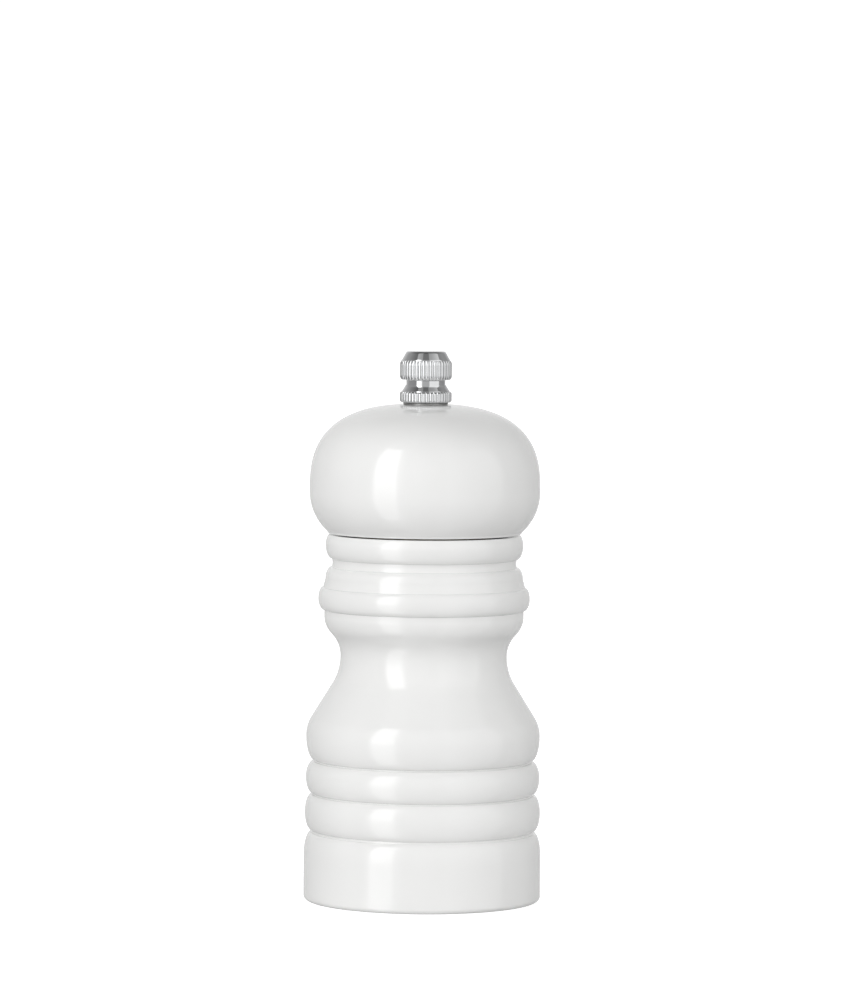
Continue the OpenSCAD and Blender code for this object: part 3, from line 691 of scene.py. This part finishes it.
def body_outside():
    """The body's outside, ring by ring from the foot's edge up to the face under the head."""
    z = BASE_H
    out = arc(BASE_R - BASE_EDGE, BASE_EDGE, BASE_EDGE, BASE_EDGE, -90, 0, 10)
    out += line(BASE_R, BASE_EDGE, BASE_R, z, 10)[1:]
    out += arc(LOW_GROOVE_R, z, BASE_R - LOW_GROOVE_R, SHOULDER_H, 0, 90, 18)[1:]
    z += SHOULDER_H
    out += groove(LOW_GROOVE_R, z, LOW_GROOVE_R, z + LOW_GROOVE_H, LOW_GROOVE_DEPTH)
    z += LOW_GROOVE_H
    out += bead(z, LOW_BEAD_H, LOW_GROOVE_R, MID_GROOVE_R, LOW_BEAD_R, 18)
    z += LOW_BEAD_H + MID_GROOVE_H
    out += bead(z, HIGH_BEAD_H, MID_GROOVE_R, HIGH_GROOVE_R, HIGH_BEAD_R, 18)
    z += HIGH_BEAD_H + HIGH_GROOVE_H
    out += arc(HIGH_GROOVE_R, z + BELLY_FOOT_H, BELLY_R - HIGH_GROOVE_R, BELLY_FOOT_H, -90, 0, 22)
    z += BELLY_FOOT_H
    out += ogee(BELLY_R, z, NECK_R, z + BELLY_H, BELLY_CURVE, NECK_CURVE, 20)[1:]
    z += BELLY_H
    out += ogee(NECK_R, z + FLARE_LIFT, STEP_R, z + FLARE_H, FLARE_CURVE, FLARE_SHOULDER, 16)
    z += FLARE_H + STEP_H
    out += bead(z, COLLAR_H, STEP_R, BAND_R, COLLAR_R, 14)
    z += COLLAR_H + BAND_H
    out += arc(COVE_R, z, BAND_TOP_R - COVE_R, BAND_ROUND_H, 0, 90, 12)
    z += BAND_ROUND_H
    out += groove(COVE_R, z, COVE_R, z + COVE_H, COVE_DEPTH)
    z += COVE_H
    out += arc(COVE_R, z + RIM_ROUND_H, RIM_R - COVE_R, RIM_ROUND_H, -90, 0, 12)
    z += RIM_ROUND_H
    for k in range(1, 9):
        t = k / 8
        out.append((RIM_R + (RIM_TOP_R - RIM_R) * t * t, z + (RIM_H - RIM_EDGE) * t))
    out.append((RIM_TOP_R - RIM_EDGE, body_top))
    return out


def make_body():
    """The body: lacquered outside, at the socket's mouth and round the base, and bare wood in its bores."""
    socket_z = tenon_z - SOCKET_GAP
    mouth_z = body_top - MOUTH_H
    pocket_z = housing_top + HOUSING_GAP
    mouth = [(SOCKET_R + MOUTH_W, body_top), (SOCKET_R, mouth_z)]
    inside = line(SOCKET_R, mouth_z, SOCKET_R, socket_z, 6)[1:]
    inside += line(RESERVOIR_R, socket_z, RESERVOIR_R, pocket_z, 12)
    inside += line(HOUSING_POCKET_R, pocket_z, HOUSING_POCKET_R, retainer_top, 8)
    inside += [(RETAINER_POCKET_R, retainer_top)]
    pocket_wall = [(RETAINER_POCKET_R, retainer_top), (RETAINER_POCKET_R, FOOT_EDGE)]
    foot = [(RETAINER_POCKET_R + FOOT_EDGE, 0.0)]
    piece = lathe("turned_body", [(body_outside(), 0), (mouth, 0), (inside, 1),
                                  (pocket_wall, 0), (foot, 0)], segments=160)
    return dress(piece, "mill_body", "lacquered_wood", ["body_shell"], lacquer, wood)


def make_head():
    """The head: lacquered outside, bare wood in its bore and on its tenon."""
    wide_z = head_z + HEAD_LOW_H
    low_angle = math.degrees(math.asin((HEAD_LOW_H - HEAD_EDGE) / HEAD_LOW_CURVE))
    lip_r = HEAD_R - HEAD_LOW_CURVE * (1 - math.cos(math.radians(low_angle)))
    outside = arc(lip_r - HEAD_EDGE, head_z + HEAD_EDGE, HEAD_EDGE, HEAD_EDGE, -90, -20, 4)
    outside += arc(HEAD_R - HEAD_LOW_CURVE, wide_z, HEAD_LOW_CURVE, HEAD_LOW_CURVE, -low_angle, 0, 28)
    outside += crown(HEAD_R, HEAD_CROWN_H, wide_z, HEAD_FULLNESS, HEAD_SEAT_R, 64)[1:]
    seat_z = outside[-1][1]
    outside += [(HEAD_BORE_R + BORE_EDGE, seat_z)]
    bore = line(HEAD_BORE_R, seat_z - BORE_EDGE, HEAD_BORE_R, tenon_z + BORE_EDGE, 12)
    tenon = [(HEAD_BORE_R + BORE_EDGE, tenon_z), (TENON_R - HEAD_EDGE, tenon_z)]
    tenon += [(TENON_R, tenon_z + HEAD_EDGE)]
    tenon += line(TENON_R, tenon_z + HEAD_EDGE, TENON_R, head_z, 6)[1:]
    piece = lathe("turned_head", [(outside, 0), (bore, 1), (tenon, 1)], segments=160)
    return dress(piece, "head", "lacquered_wood", ["head_knob"], lacquer, wood)


# ---------------------------------------------------------------- the top nut and the washers

NUT_R, NUT_WAIST_R, NUT_TOP_R, NUT_RIB_DEPTH, NUT_RIBS = 6.0, 4.5, 4.4, 0.32, 40
NUT_LOW_H, NUT_FLARE_H, NUT_WAIST_H, NUT_HIGH_H = 2.5, 1.5, 1.3, 4.4
NUT_BORE_R, NUT_CAP_T = 2.53, 1.6


def make_nut():
    """The top nut: a low ribbed band, a flare, a smooth waist, a high ribbed band and a cone."""
    z0 = bottom_of("adjusting_nut")
    top = top_of("adjusting_nut")
    root = NUT_R - NUT_RIB_DEPTH * 1.1
    flare_z = z0 + NUT_LOW_H
    waist_z = flare_z + NUT_FLARE_H
    high_z = waist_z + NUT_WAIST_H
    cone_z = high_z + NUT_HIGH_H
    bore_z = top - NUT_CAP_T
    outline = [(0, bore_z), (NUT_BORE_R - 0.1, bore_z), (NUT_BORE_R, bore_z - 0.1), (NUT_BORE_R, z0 + 0.4)]
    outline += [(NUT_BORE_R + 0.4, z0), (5.2, z0), (root, z0 + 0.3)]
    outline += line(root, z0 + 0.3, root, flare_z, 4)[1:]
    outline += line(root, flare_z, NUT_WAIST_R + 0.2, waist_z, 4)[1:]
    outline += [(NUT_WAIST_R + 0.2, waist_z + 0.12), (NUT_WAIST_R, waist_z + 0.14)]
    outline += [(NUT_WAIST_R, high_z - 0.15), (NUT_WAIST_R + 0.15, high_z)]
    outline += [(root, high_z + 0.2)] + line(root, high_z + 0.2, root, cone_z, 4)[1:]
    outline += [(root, cone_z + 0.08)]
    outline += line(root, cone_z + 0.08, NUT_TOP_R + 0.15, top - 0.15, 6)[1:]
    outline += [(NUT_TOP_R - 0.1, top), (0, top)]
    piece = lathe("ribbed_top_nut", [(outline, 0)], segments=120, closed=False)
    ribs = ribs_tree("nut_ribs", chrome)
    for low, high in ((z0 + 0.15, flare_z + 0.1), (high_z + 0.1, cone_z + 0.1)):
        grow(piece, ribs, Ribs=NUT_RIBS, Radius=NUT_R * MM, Depth=NUT_RIB_DEPTH * MM,
             From=low * MM, To=high * MM, Edge=0.14 * MM, Root=(root - 0.3) * MM)
    return dress(piece, "nut", "chrome", ["adjusting_nut"], chrome)


def washer(name, node_name, inner, edge=0.12):
    """A flat washer with rounded outer edges, between its node's lowest and highest faces."""
    z0, z1, outer = bottom_of(node_name), top_of(node_name), radius_of(node_name)
    outline = arc(outer - edge, z0 + edge, edge, edge, -90, 0, 3)
    outline += arc(outer - edge, z1 - edge, edge, edge, 0, 90, 3)
    outline += [(inner, z1), (inner, z0)]
    return lathe(name, [(outline, 0)], segments=72)


# ---------------------------------------------------------------- shaft, spring and grinder

SHAFT_W, SHAFT_EDGE, TOP_THREAD_R, END_THREAD_R = 5.0, 0.3, 2.45, 2.0
TOP_PITCH, END_PITCH = 0.8, 0.7
SQUARE_FROM, THREAD_FROM = 7.0, top_of("head_knob") - 5.0
SHAFT_HOLE_R = 3.7


def make_shaft():
    """Square bar, turned down and threaded at both ends."""
    half = SHAFT_W / 2
    piece = block("square_shaft", (half, half), (half, half), SQUARE_FROM, THREAD_FROM, edge=SHAFT_EDGE)
    thread = thread_tree("shaft_thread", bar_steel)
    grow(piece, thread, Radius=TOP_THREAD_R * MM, Depth=0.42 * MM, Pitch=TOP_PITCH * MM,
         From=(THREAD_FROM - 1) * MM, To=top_of("drive_shaft") * MM, Chamfer=0.5 * MM)
    grow(piece, thread, Radius=END_THREAD_R * MM, Depth=0.36 * MM, Pitch=END_PITCH * MM,
         From=bottom_of("drive_shaft") * MM, To=(SQUARE_FROM + 1) * MM, Chamfer=0.4 * MM)
    return dress(piece, "shaft", "shaft_steel", ["drive_shaft"], bar_steel)


def make_lock_nut():
    """Hexagon nut, its corners chamfered on both faces, with a countersunk hole."""
    z0, z1, corner = bottom_of("shaft_lock_nut"), top_of("shaft_lock_nut"), radius_of("shaft_lock_nut")
    flat, cut = corner * math.cos(math.pi / 6), 0.35
    hexagon = lathe("hexagon_lock_nut", [([(0, z0), (corner, z0), (corner, z1), (0, z1)], 0)], 6, False)
    chamfer = [(0, z0 - 1), (flat, z0 - 1), (flat, z0), (corner + 0.05, z0 + cut), (corner + 0.05, z1 - cut),
               (flat, z1), (flat, z1 + 1), (0, z1 + 1)]
    carved(hexagon, lathe("chamfer", [(chamfer, 0)], 72, False), "INTERSECT")
    hole = END_THREAD_R + 0.03
    bore = [(0, z0 - 1), (hole + 1.4, z0 - 1), (hole, z0 + 0.4)]
    bore += [(hole, z1 - 0.4), (hole + 1.4, z1 + 1), (0, z1 + 1)]
    carved(hexagon, lathe("bore", [(bore, 0)], 48, False))
    return dress(hexagon, "shaft", "steel", ["shaft_lock_nut"], zinc)


def make_spring():
    """The coil spring, built at one length; in the mill it is pressed shorter against its top end as the
    shaft is drawn up.
    """
    low, high = bottom_of("grind_spring"), top_of("grind_spring")
    wire, travel = 1.0, 1.6
    piece = new_object("coil_spring", bpy.data.meshes.new("coil_spring"))
    grow(piece, coil_tree("coil", spring_steel), Coil_radius=(radius_of("grind_spring") - wire / 2) * MM,
         Wire=wire * MM, From=low * MM, To=high * MM, Turns=5.5, Closed_pitch=1.02 * MM)
    dress(piece, "drive", "spring_steel", ["grind_spring"], spring_steel)
    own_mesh(piece)


RIM_R_ROTOR, RIM_LEAN = radius_of("rotor"), math.tan(math.radians(20))
ROTOR_FINE_H, ROTOR_TOP_R, ROTOR_BORE_R, ROTOR_RECESS_R, ROTOR_RECESS_H = 4.0, 7.0, 5.1, 8.0, 4.4
STATOR_MOUTH_R, STATOR_FINE_H, STATOR_FEED_R = 12.3, 6.0, 12.6
ROTOR_TEETH, ROTOR_FEED_RIBS, STATOR_TEETH, STATOR_FEED_RIBS = 48, 8, 54, 9


def make_rotor():
    """Grinding cone: fine slanting teeth round its rim and curved feed ribs above them."""
    z0, z1 = bottom_of("rotor"), top_of("rotor")
    waist_z = z0 + ROTOR_FINE_H
    waist_r = RIM_R_ROTOR - ROTOR_FINE_H * RIM_LEAN
    outline = line(RIM_R_ROTOR, z0 + 0.02, waist_r, waist_z, 16)
    outline += line(waist_r, waist_z, ROTOR_TOP_R, z1, 22)[1:]
    recess_z = z0 + ROTOR_RECESS_H
    outline += [(ROTOR_BORE_R, z1), (ROTOR_BORE_R, recess_z), (ROTOR_RECESS_R, recess_z)]
    outline += [(ROTOR_RECESS_R, z0 + 0.2), (ROTOR_RECESS_R + 0.2, z0), (RIM_R_ROTOR - 0.15, z0)]
    piece = lathe("grinding_cone", [(outline, 0)], segments=384)
    teeth = teeth_tree("cone_teeth", alumina)
    grow(piece, teeth, Teeth=ROTOR_TEETH, Depth=0.5 * MM, Slant=320.0,
         From=(z0 - 0.4) * MM, To=waist_z * MM, Fade=0.4 * MM,
         Least_radius=(ROTOR_RECESS_R + 1) * MM, Greatest_radius=20 * MM)
    grow(piece, teeth, Teeth=ROTOR_FEED_RIBS, Depth=1.5 * MM, Slant=90.0,
         From=(waist_z - 0.6) * MM, To=(z1 + 0.5) * MM, Fade=1.6 * MM,
         Least_radius=(ROTOR_BORE_R + 1.2) * MM, Greatest_radius=20 * MM)
    return dress(piece, "shaft", "ceramic", ["rotor"], alumina)


def make_stator():
    """Grinding ring: fine teeth in its mouth and coarse feed ribs above its waist."""
    z0, z1, outer = bottom_of("stator_ring"), top_of("stator_ring"), radius_of("stator_ring")
    waist_z = z0 + STATOR_FINE_H
    waist_r = STATOR_MOUTH_R - STATOR_FINE_H * RIM_LEAN
    outline = line(STATOR_FEED_R, z1, waist_r, waist_z, 14)
    outline += line(waist_r, waist_z, STATOR_MOUTH_R, z0, 22)[1:]
    outline += [(outer - 0.3, z0), (outer, z0 + 0.3), (outer, z1 - 0.3), (outer - 0.3, z1)]
    piece = lathe("grinding_ring", [(outline, 0)], segments=432)
    teeth = teeth_tree("ring_teeth", alumina)
    grow(piece, teeth, Teeth=STATOR_TEETH, Depth=-0.5 * MM, Slant=-320.0,
         From=(z0 - 0.4) * MM, To=(waist_z - 0.6) * MM, Fade=0.4 * MM,
         Least_radius=5 * MM, Greatest_radius=(STATOR_MOUTH_R + 0.2) * MM)
    grow(piece, teeth, Teeth=STATOR_FEED_RIBS, Depth=-1.0 * MM, Slant=-60.0,
         From=(waist_z - 1.0) * MM, To=(z1 + 0.5) * MM, Fade=1.6 * MM,
         Least_radius=5 * MM, Greatest_radius=(STATOR_FEED_R + 0.2) * MM)
    return dress(piece, "mill_body", "ceramic", ["stator_ring"], alumina)


# ---------------------------------------------------------------- housing, plates and screws

HOUSING_BORE_R, LEDGE_R, LEDGE_FROM, LEDGE_H, LEDGE_SLOPE = 14.5, 13.0, 10.0, 1.4, 1.5
SPIDER_T, BOSS_R, SPOKE_W, KEY_W = 3.0, 6.2, 3.2, 2.0
SCREW_HEAD_R, SCREW_R, SCREW_L, SCREW_PITCH, SCREW_HEAD_H = 2.5, 1.4, 9.0, 1.1, 1.5
RETAINER_SCREWS_AT, TURNPLATE_SCREWS_AT = 19.55, 8.6


def make_housing(around):
    """Moulded housing: a wall with a ledge over the ring, a boss for the shaft, three spokes and two keys."""
    z0, z1 = bottom_of("mechanism_housing"), top_of("mechanism_housing")
    outer = radius_of("mechanism_housing")
    ledge_z = z0 + LEDGE_FROM
    slope_z = ledge_z + LEDGE_H
    spider_z = z1 - SPIDER_T
    round_r = 0.3
    outline = [(outer - round_r, z0), (outer, z0 + round_r)]
    outline += arc(outer - round_r, z1 - round_r, round_r, round_r, 0, 90, 4)
    outline += [(HOUSING_BORE_R, z1), (HOUSING_BORE_R, slope_z + LEDGE_SLOPE), (LEDGE_R, slope_z)]
    outline += [(LEDGE_R, ledge_z), (HOUSING_BORE_R, ledge_z), (HOUSING_BORE_R, z0)]
    piece = lathe("moulded_housing", [(outline, 0)], segments=144)
    boss = arc(BOSS_R - round_r, spider_z + round_r, round_r, round_r, -90, 0, 4)
    boss += arc(BOSS_R - round_r, z1 - round_r, round_r, round_r, 0, 90, 4)
    boss += [(SHAFT_HOLE_R + 0.2, z1), (SHAFT_HOLE_R, z1 - 0.2), (SHAFT_HOLE_R, spider_z)]
    middle, half = (BOSS_R + HOUSING_BORE_R) / 2, (HOUSING_BORE_R - BOSS_R) / 2 + 0.8
    spokes = block("spokes", (half, SPOKE_W / 2), (half, SPOKE_W / 2 - 0.2), spider_z, z1 - 0.02,
                   at=(middle, 0), turn=90, edge=0.35)
    grow(spokes, around, Count=3)
    keys = block("keys", (0.75, KEY_W / 2), (0.75, KEY_W / 2), z0 + 0.1, ledge_z + 0.2,
                 at=(HOUSING_BORE_R - 0.3, 0), edge=0.15)
    grow(keys, around, Count=2)
    joined(piece, lathe("boss", [(boss, 0)], segments=72), spokes, keys)
    return dress(piece, "mill_body", "black_plastic", ["mechanism_housing"], acetal)


def make_retainer():
    """Flat stamped ring with two countersunk holes."""
    z0, z1, outer = bottom_of("retainer_ring"), top_of("retainer_ring"), radius_of("retainer_ring")
    inner, edge = STATOR_MOUTH_R + 0.3, 0.25
    outline = arc(outer - edge, z0 + edge, edge, edge, -90, 0, 4) + [(outer, z1), (inner, z1)]
    outline += arc(inner + edge, z0 + edge, edge, edge, 180, 270, 4)
    piece = lathe("retainer_ring", [(outline, 0)], segments=144)
    hole, rim = SCREW_R + 0.1, SCREW_HEAD_R + 0.1
    sink = [(0, z0 - 1), (rim + 1, z0 - 1), (rim, z0), (hole, z0 + rim - hole), (hole, z1 + 1), (0, z1 + 1)]
    for side in (-1, 1):
        carved(piece, moved(lathe("sink", [(sink, 0)], 48, False), side * RETAINER_SCREWS_AT, 0))
    return dress(piece, "mill_body", "steel", ["retainer_ring"], stainless)


def make_turnplate():
    """Steel disc with a square hole for the shaft."""
    z0, z1, outer = bottom_of("turnplate"), top_of("turnplate"), radius_of("turnplate")
    edge = 0.25
    outline = [(0, z0)] + arc(outer - edge, z0 + edge, edge, edge, -90, 0, 4)
    outline += arc(outer - edge, z1 - edge, edge, edge, 0, 90, 4) + [(0, z1)]
    piece = lathe("turnplate", [(outline, 0)], 96, False)
    half = SHAFT_W / 2 + 0.1
    carved(piece, block("square_hole", (half, half), (half, half), z0 - 1, z1 + 1))
    return dress(piece, "head", "steel", ["turnplate"], stainless)


def screw_pair(name, head, z_face, z_from, z_to, at, turn, body, nodes, trees):
    """Two cross-slot screws on opposite sides of the axis, pointing up, their heads' faces at z_face."""
    screw = lathe(name, [(head, 0)], 48, False)
    for arm in (0, 90):
        slot = block("driver_arm", (1.55, 0.34), (0.7, 0.24), z_face - 0.01, z_face + 0.9, turn=arm + 20)
        carved(screw, slot)
    thread, around = trees
    grow(screw, thread, Radius=SCREW_R * MM, Depth=0.3 * MM, Pitch=SCREW_PITCH * MM, From=z_from * MM,
         To=z_to * MM, Chamfer=0.9 * MM)
    moved(screw, at, 0)
    moved(screw, 0, 0, turn)
    grow(screw, around, Count=2)
    return dress(screw, body, "screw_steel", nodes, zinc)


def make_screws(trees):
    """Two countersunk screws for the retaining ring, and two round-headed ones for the turnplate."""
    z = bottom_of("retainer_screw_1")
    depth = SCREW_HEAD_R - SCREW_R
    sunk = [(0, z), (SCREW_HEAD_R - 0.08, z), (SCREW_HEAD_R - 0.03, z + 0.08), (SCREW_R, z + depth)]
    sunk += [(SCREW_R, z + depth + 0.5), (0, z + depth + 0.5)]
    screw_pair("retainer_screws", sunk, z, z + depth, z + SCREW_L, RETAINER_SCREWS_AT, 0, "mill_body",
               ["retainer_screw_1", "retainer_screw_2"], trees)
    z = bottom_of("turnplate")
    rounded = [(0, z - SCREW_HEAD_H)] + arc(0, z - 0.1, SCREW_HEAD_R, SCREW_HEAD_H - 0.1, -88, 0, 10)
    rounded += [(SCREW_HEAD_R - 0.1, z), (SCREW_R, z), (SCREW_R, z + 0.6), (0, z + 0.6)]
    screw_pair("turnplate_screws", rounded, z - SCREW_HEAD_H, z, z + SCREW_L, TURNPLATE_SCREWS_AT, 90, "head",
               ["turnplate_screw_1", "turnplate_screw_2"], trees)


make_body()
make_head()
make_nut()
make_shaft()
make_lock_nut()
make_spring()
make_rotor()
make_stator()
repeat_plastic = around_tree("around_plastic", acetal)
repeat_screws = around_tree("around_screws", zinc)
make_housing(repeat_plastic)
make_retainer()
make_turnplate()
make_screws((thread_tree("screw_thread", zinc), repeat_screws))
dress(washer("top_washer", "nut_washer", 3.84), "nut_seat", "steel", ["nut_washer"], stainless)
dress(washer("spring_top_washer_disc", "spring_top_washer", SHAFT_HOLE_R), "drive", "steel",
      ["spring_top_washer"], stainless)
dress(washer("spring_seat_washer_disc", "spring_seat_washer", SHAFT_HOLE_R), "shaft", "steel",
      ["spring_seat_washer"], stainless)
dress(washer("hub_washer_disc", "rotor_washer", END_THREAD_R + 0.08), "shaft", "steel", ["rotor_washer"],
      stainless)
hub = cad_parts["rotor_hub"]
for material_slot in hub.material_slots:
    material_slot.material = acetal


# ---------------------------------------------------------------- camera, light and floor

# The lens in millimetres, how far the camera looks down and is rolled in degrees, and its place in metres
LENS, LOOKS_DOWN, ROLL, CAMERA_AT = 202.2, 3.285, 0.47, (-0.00055, -1.2978, 0.1675)


def make_camera():
    """A long lens, a little above the mill, tilted down and turned very slightly on its axis."""
    data = bpy.data.cameras.new("camera")
    data.lens, data.sensor_width = LENS, 36
    data.clip_start, data.clip_end = 0.05, 50
    camera = new_object("camera", data)
    tilt, roll = math.radians(90 - LOOKS_DOWN), math.radians(ROLL)
    camera.matrix_world = (Matrix.Translation(CAMERA_AT)
                           @ Matrix.Rotation(tilt, 4, "X") @ Matrix.Rotation(roll, 4, "Z"))
    bpy.context.scene.camera = camera


def soft_box(name, azimuth, elevation, width, height, distance, power):
    """A large soft light that points at the mill. Azimuth 0 is behind the camera, positive to its right."""
    data = bpy.data.lights.new(name, "AREA")
    data.shape = "RECTANGLE"
    data.size, data.size_y = width, height
    data.energy = power
    lamp = new_object(name, data)
    a, e = math.radians(azimuth), math.radians(elevation)
    middle = Vector((0, 0, AIM_H * MM))
    at = middle + distance * Vector((math.sin(a) * math.cos(e), -math.cos(a) * math.cos(e), math.sin(e)))
    lamp.matrix_world = Matrix.Translation(at) @ (middle - at).to_track_quat("-Z", "Y").to_matrix().to_4x4()
    lamp.visible_glossy = False


def make_world():
    """The studio: white behind, brightest in front, dim overhead, with a tall strip light to the left.

    What a glossy surface mirrors has dark cards in it as well.
    """
    world = bpy.data.worlds.new("studio")
    world.use_nodes = True
    bpy.context.scene.world = world
    tree = world.node_tree
    axis = node(tree, SPLIT, [node(tree, "ShaderNodeTexCoord").outputs["Generated"]]).outputs
    behind = node(tree, MATH, [axis["Y"], -1.0], operation="MULTIPLY")
    azimuth = node(tree, MATH, [axis["X"], behind], operation="ARCTAN2")
    around = node(tree, MATH, [azimuth, 1 / TURN, 0.5], operation="MULTIPLY_ADD")
    elevation = node(tree, MATH, [axis["Z"]], operation="ARCSINE")
    up = node(tree, MATH, [elevation, 1 / math.pi, 0.5], operation="MULTIPLY_ADD")
    lit, mirrored, strip_around, by_elevation, strip_up = (
        node(tree, RAMP, [place], stops=[((degrees + span / 2) / span, tone) for degrees, tone in tones])
        for place, span, tones in (
            (around, 360, AZIMUTH_TONES), (around, 360, MIRRORED_TONES), (around, 360, STRIP_AZIMUTHS),
            (up, 180, ELEVATION_TONES), (up, 180, STRIP_ELEVATIONS)))
    path = node(tree, "ShaderNodeLightPath").outputs
    by_azimuth = node(tree, MIX, {"Factor": path["Is Glossy Ray"], "A": lit, "B": mirrored},
                      data_type="RGBA")
    room = node(tree, MATH, [by_azimuth, by_elevation], operation="MULTIPLY")
    room_light = node(tree, MATH, [room, ROOM_STRENGTH], operation="MULTIPLY")
    strip = node(tree, MATH, [strip_around, strip_up], operation="MULTIPLY")
    light = node(tree, MATH, [strip, STRIP_STRENGTH, room_light], operation="MULTIPLY_ADD")
    studio, white = (node(tree, "ShaderNodeBackground", {"Color": (1, 1, 1, 1), "Strength": strength})
                     for strength in (light, BACKDROP_STRENGTH))
    seen = node(tree, "ShaderNodeMixShader", [path["Is Camera Ray"], studio, white])
    fill(tree, tree.nodes["World Output"].inputs["Surface"], seen)


def make_floor(name, z, tone, glow):
    """A wide flat floor at the height z, with a grey or white tone and a glow of its own."""
    side = 8.0
    mesh = bpy.data.meshes.new(name)
    corners = [(-side, -side, z), (side, -side, z), (side, side, z), (-side, side, z)]
    mesh.from_pydata(corners, [], [(0, 1, 2, 3)])
    floor = new_object(name, mesh)
    material = shader(name, Roughness=0.9, Base_Color=linear(tone), Emission_Strength=glow,
                      Emission_Color=(1, 1, 1, 1))[0]
    mesh.materials.append(material)
    floor.visible_glossy = False
    return floor


# The studio's brightness by azimuth and by elevation in degrees; azimuth 0 is behind the camera.
# What a glossy surface mirrors has dark cards in it that the soft light on the mill doesn't.
AZIMUTH_TONES = (
    (-180, 1.0), (-120, 0.7), (-75, 0.85), (-25, 1.0), (60, 1.0), (84, 0.95), (94, 0.35), (135, 0.35),
    (180, 1.0))
MIRRORED_TONES = (
    (-180, 0.8), (-150, 0.55), (-120, 0.35), (-60, 0.3), (-54, 1.0), (-24, 1.0), (-19, 0.5), (19, 0.5),
    (24, 1.0), (82, 1.0), (87, 0.35), (130, 0.3), (155, 0.5), (180, 0.8))
ELEVATION_TONES = ((-90, 0.5), (-25, 0.6), (0, 0.9), (12, 1.0), (35, 0.9), (55, 0.38), (75, 0.12), (90, 0.1))
STRIP_AZIMUTHS = ((-54, 0.0), (-51, 1.0), (-30, 1.0), (-27, 0.0))
STRIP_ELEVATIONS = ((-52, 0.0), (-49, 0.55), (-3, 0.55), (0, 1.0), (47, 1.0), (50, 0.0))
ROOM_STRENGTH, STRIP_STRENGTH, BACKDROP_STRENGTH = 1.15, 2.2, 1.05
# The height that the soft lights point at, in millimetres
AIM_H = 60

make_camera()
make_world()
# The floor that shows is white; the floor that throws light up onto the mill is the darker one just below it
shown_floor = make_floor("white_floor", 0, "#E0E0E0", 0.7)
shown_floor.visible_diffuse = False
shown_floor.visible_shadow = False
bounce_floor = make_floor("bounce_floor", -0.0002, "#E4E4E4", 0.0)
bounce_floor.visible_camera = False
soft_box("front_box", -12, 12, 0.9, 0.9, 1.6, 4.0)
soft_box("right_fill", 115, 8, 0.8, 0.8, 1.5, 5.0)
bpy.context.scene.view_settings.view_transform = "Standard"
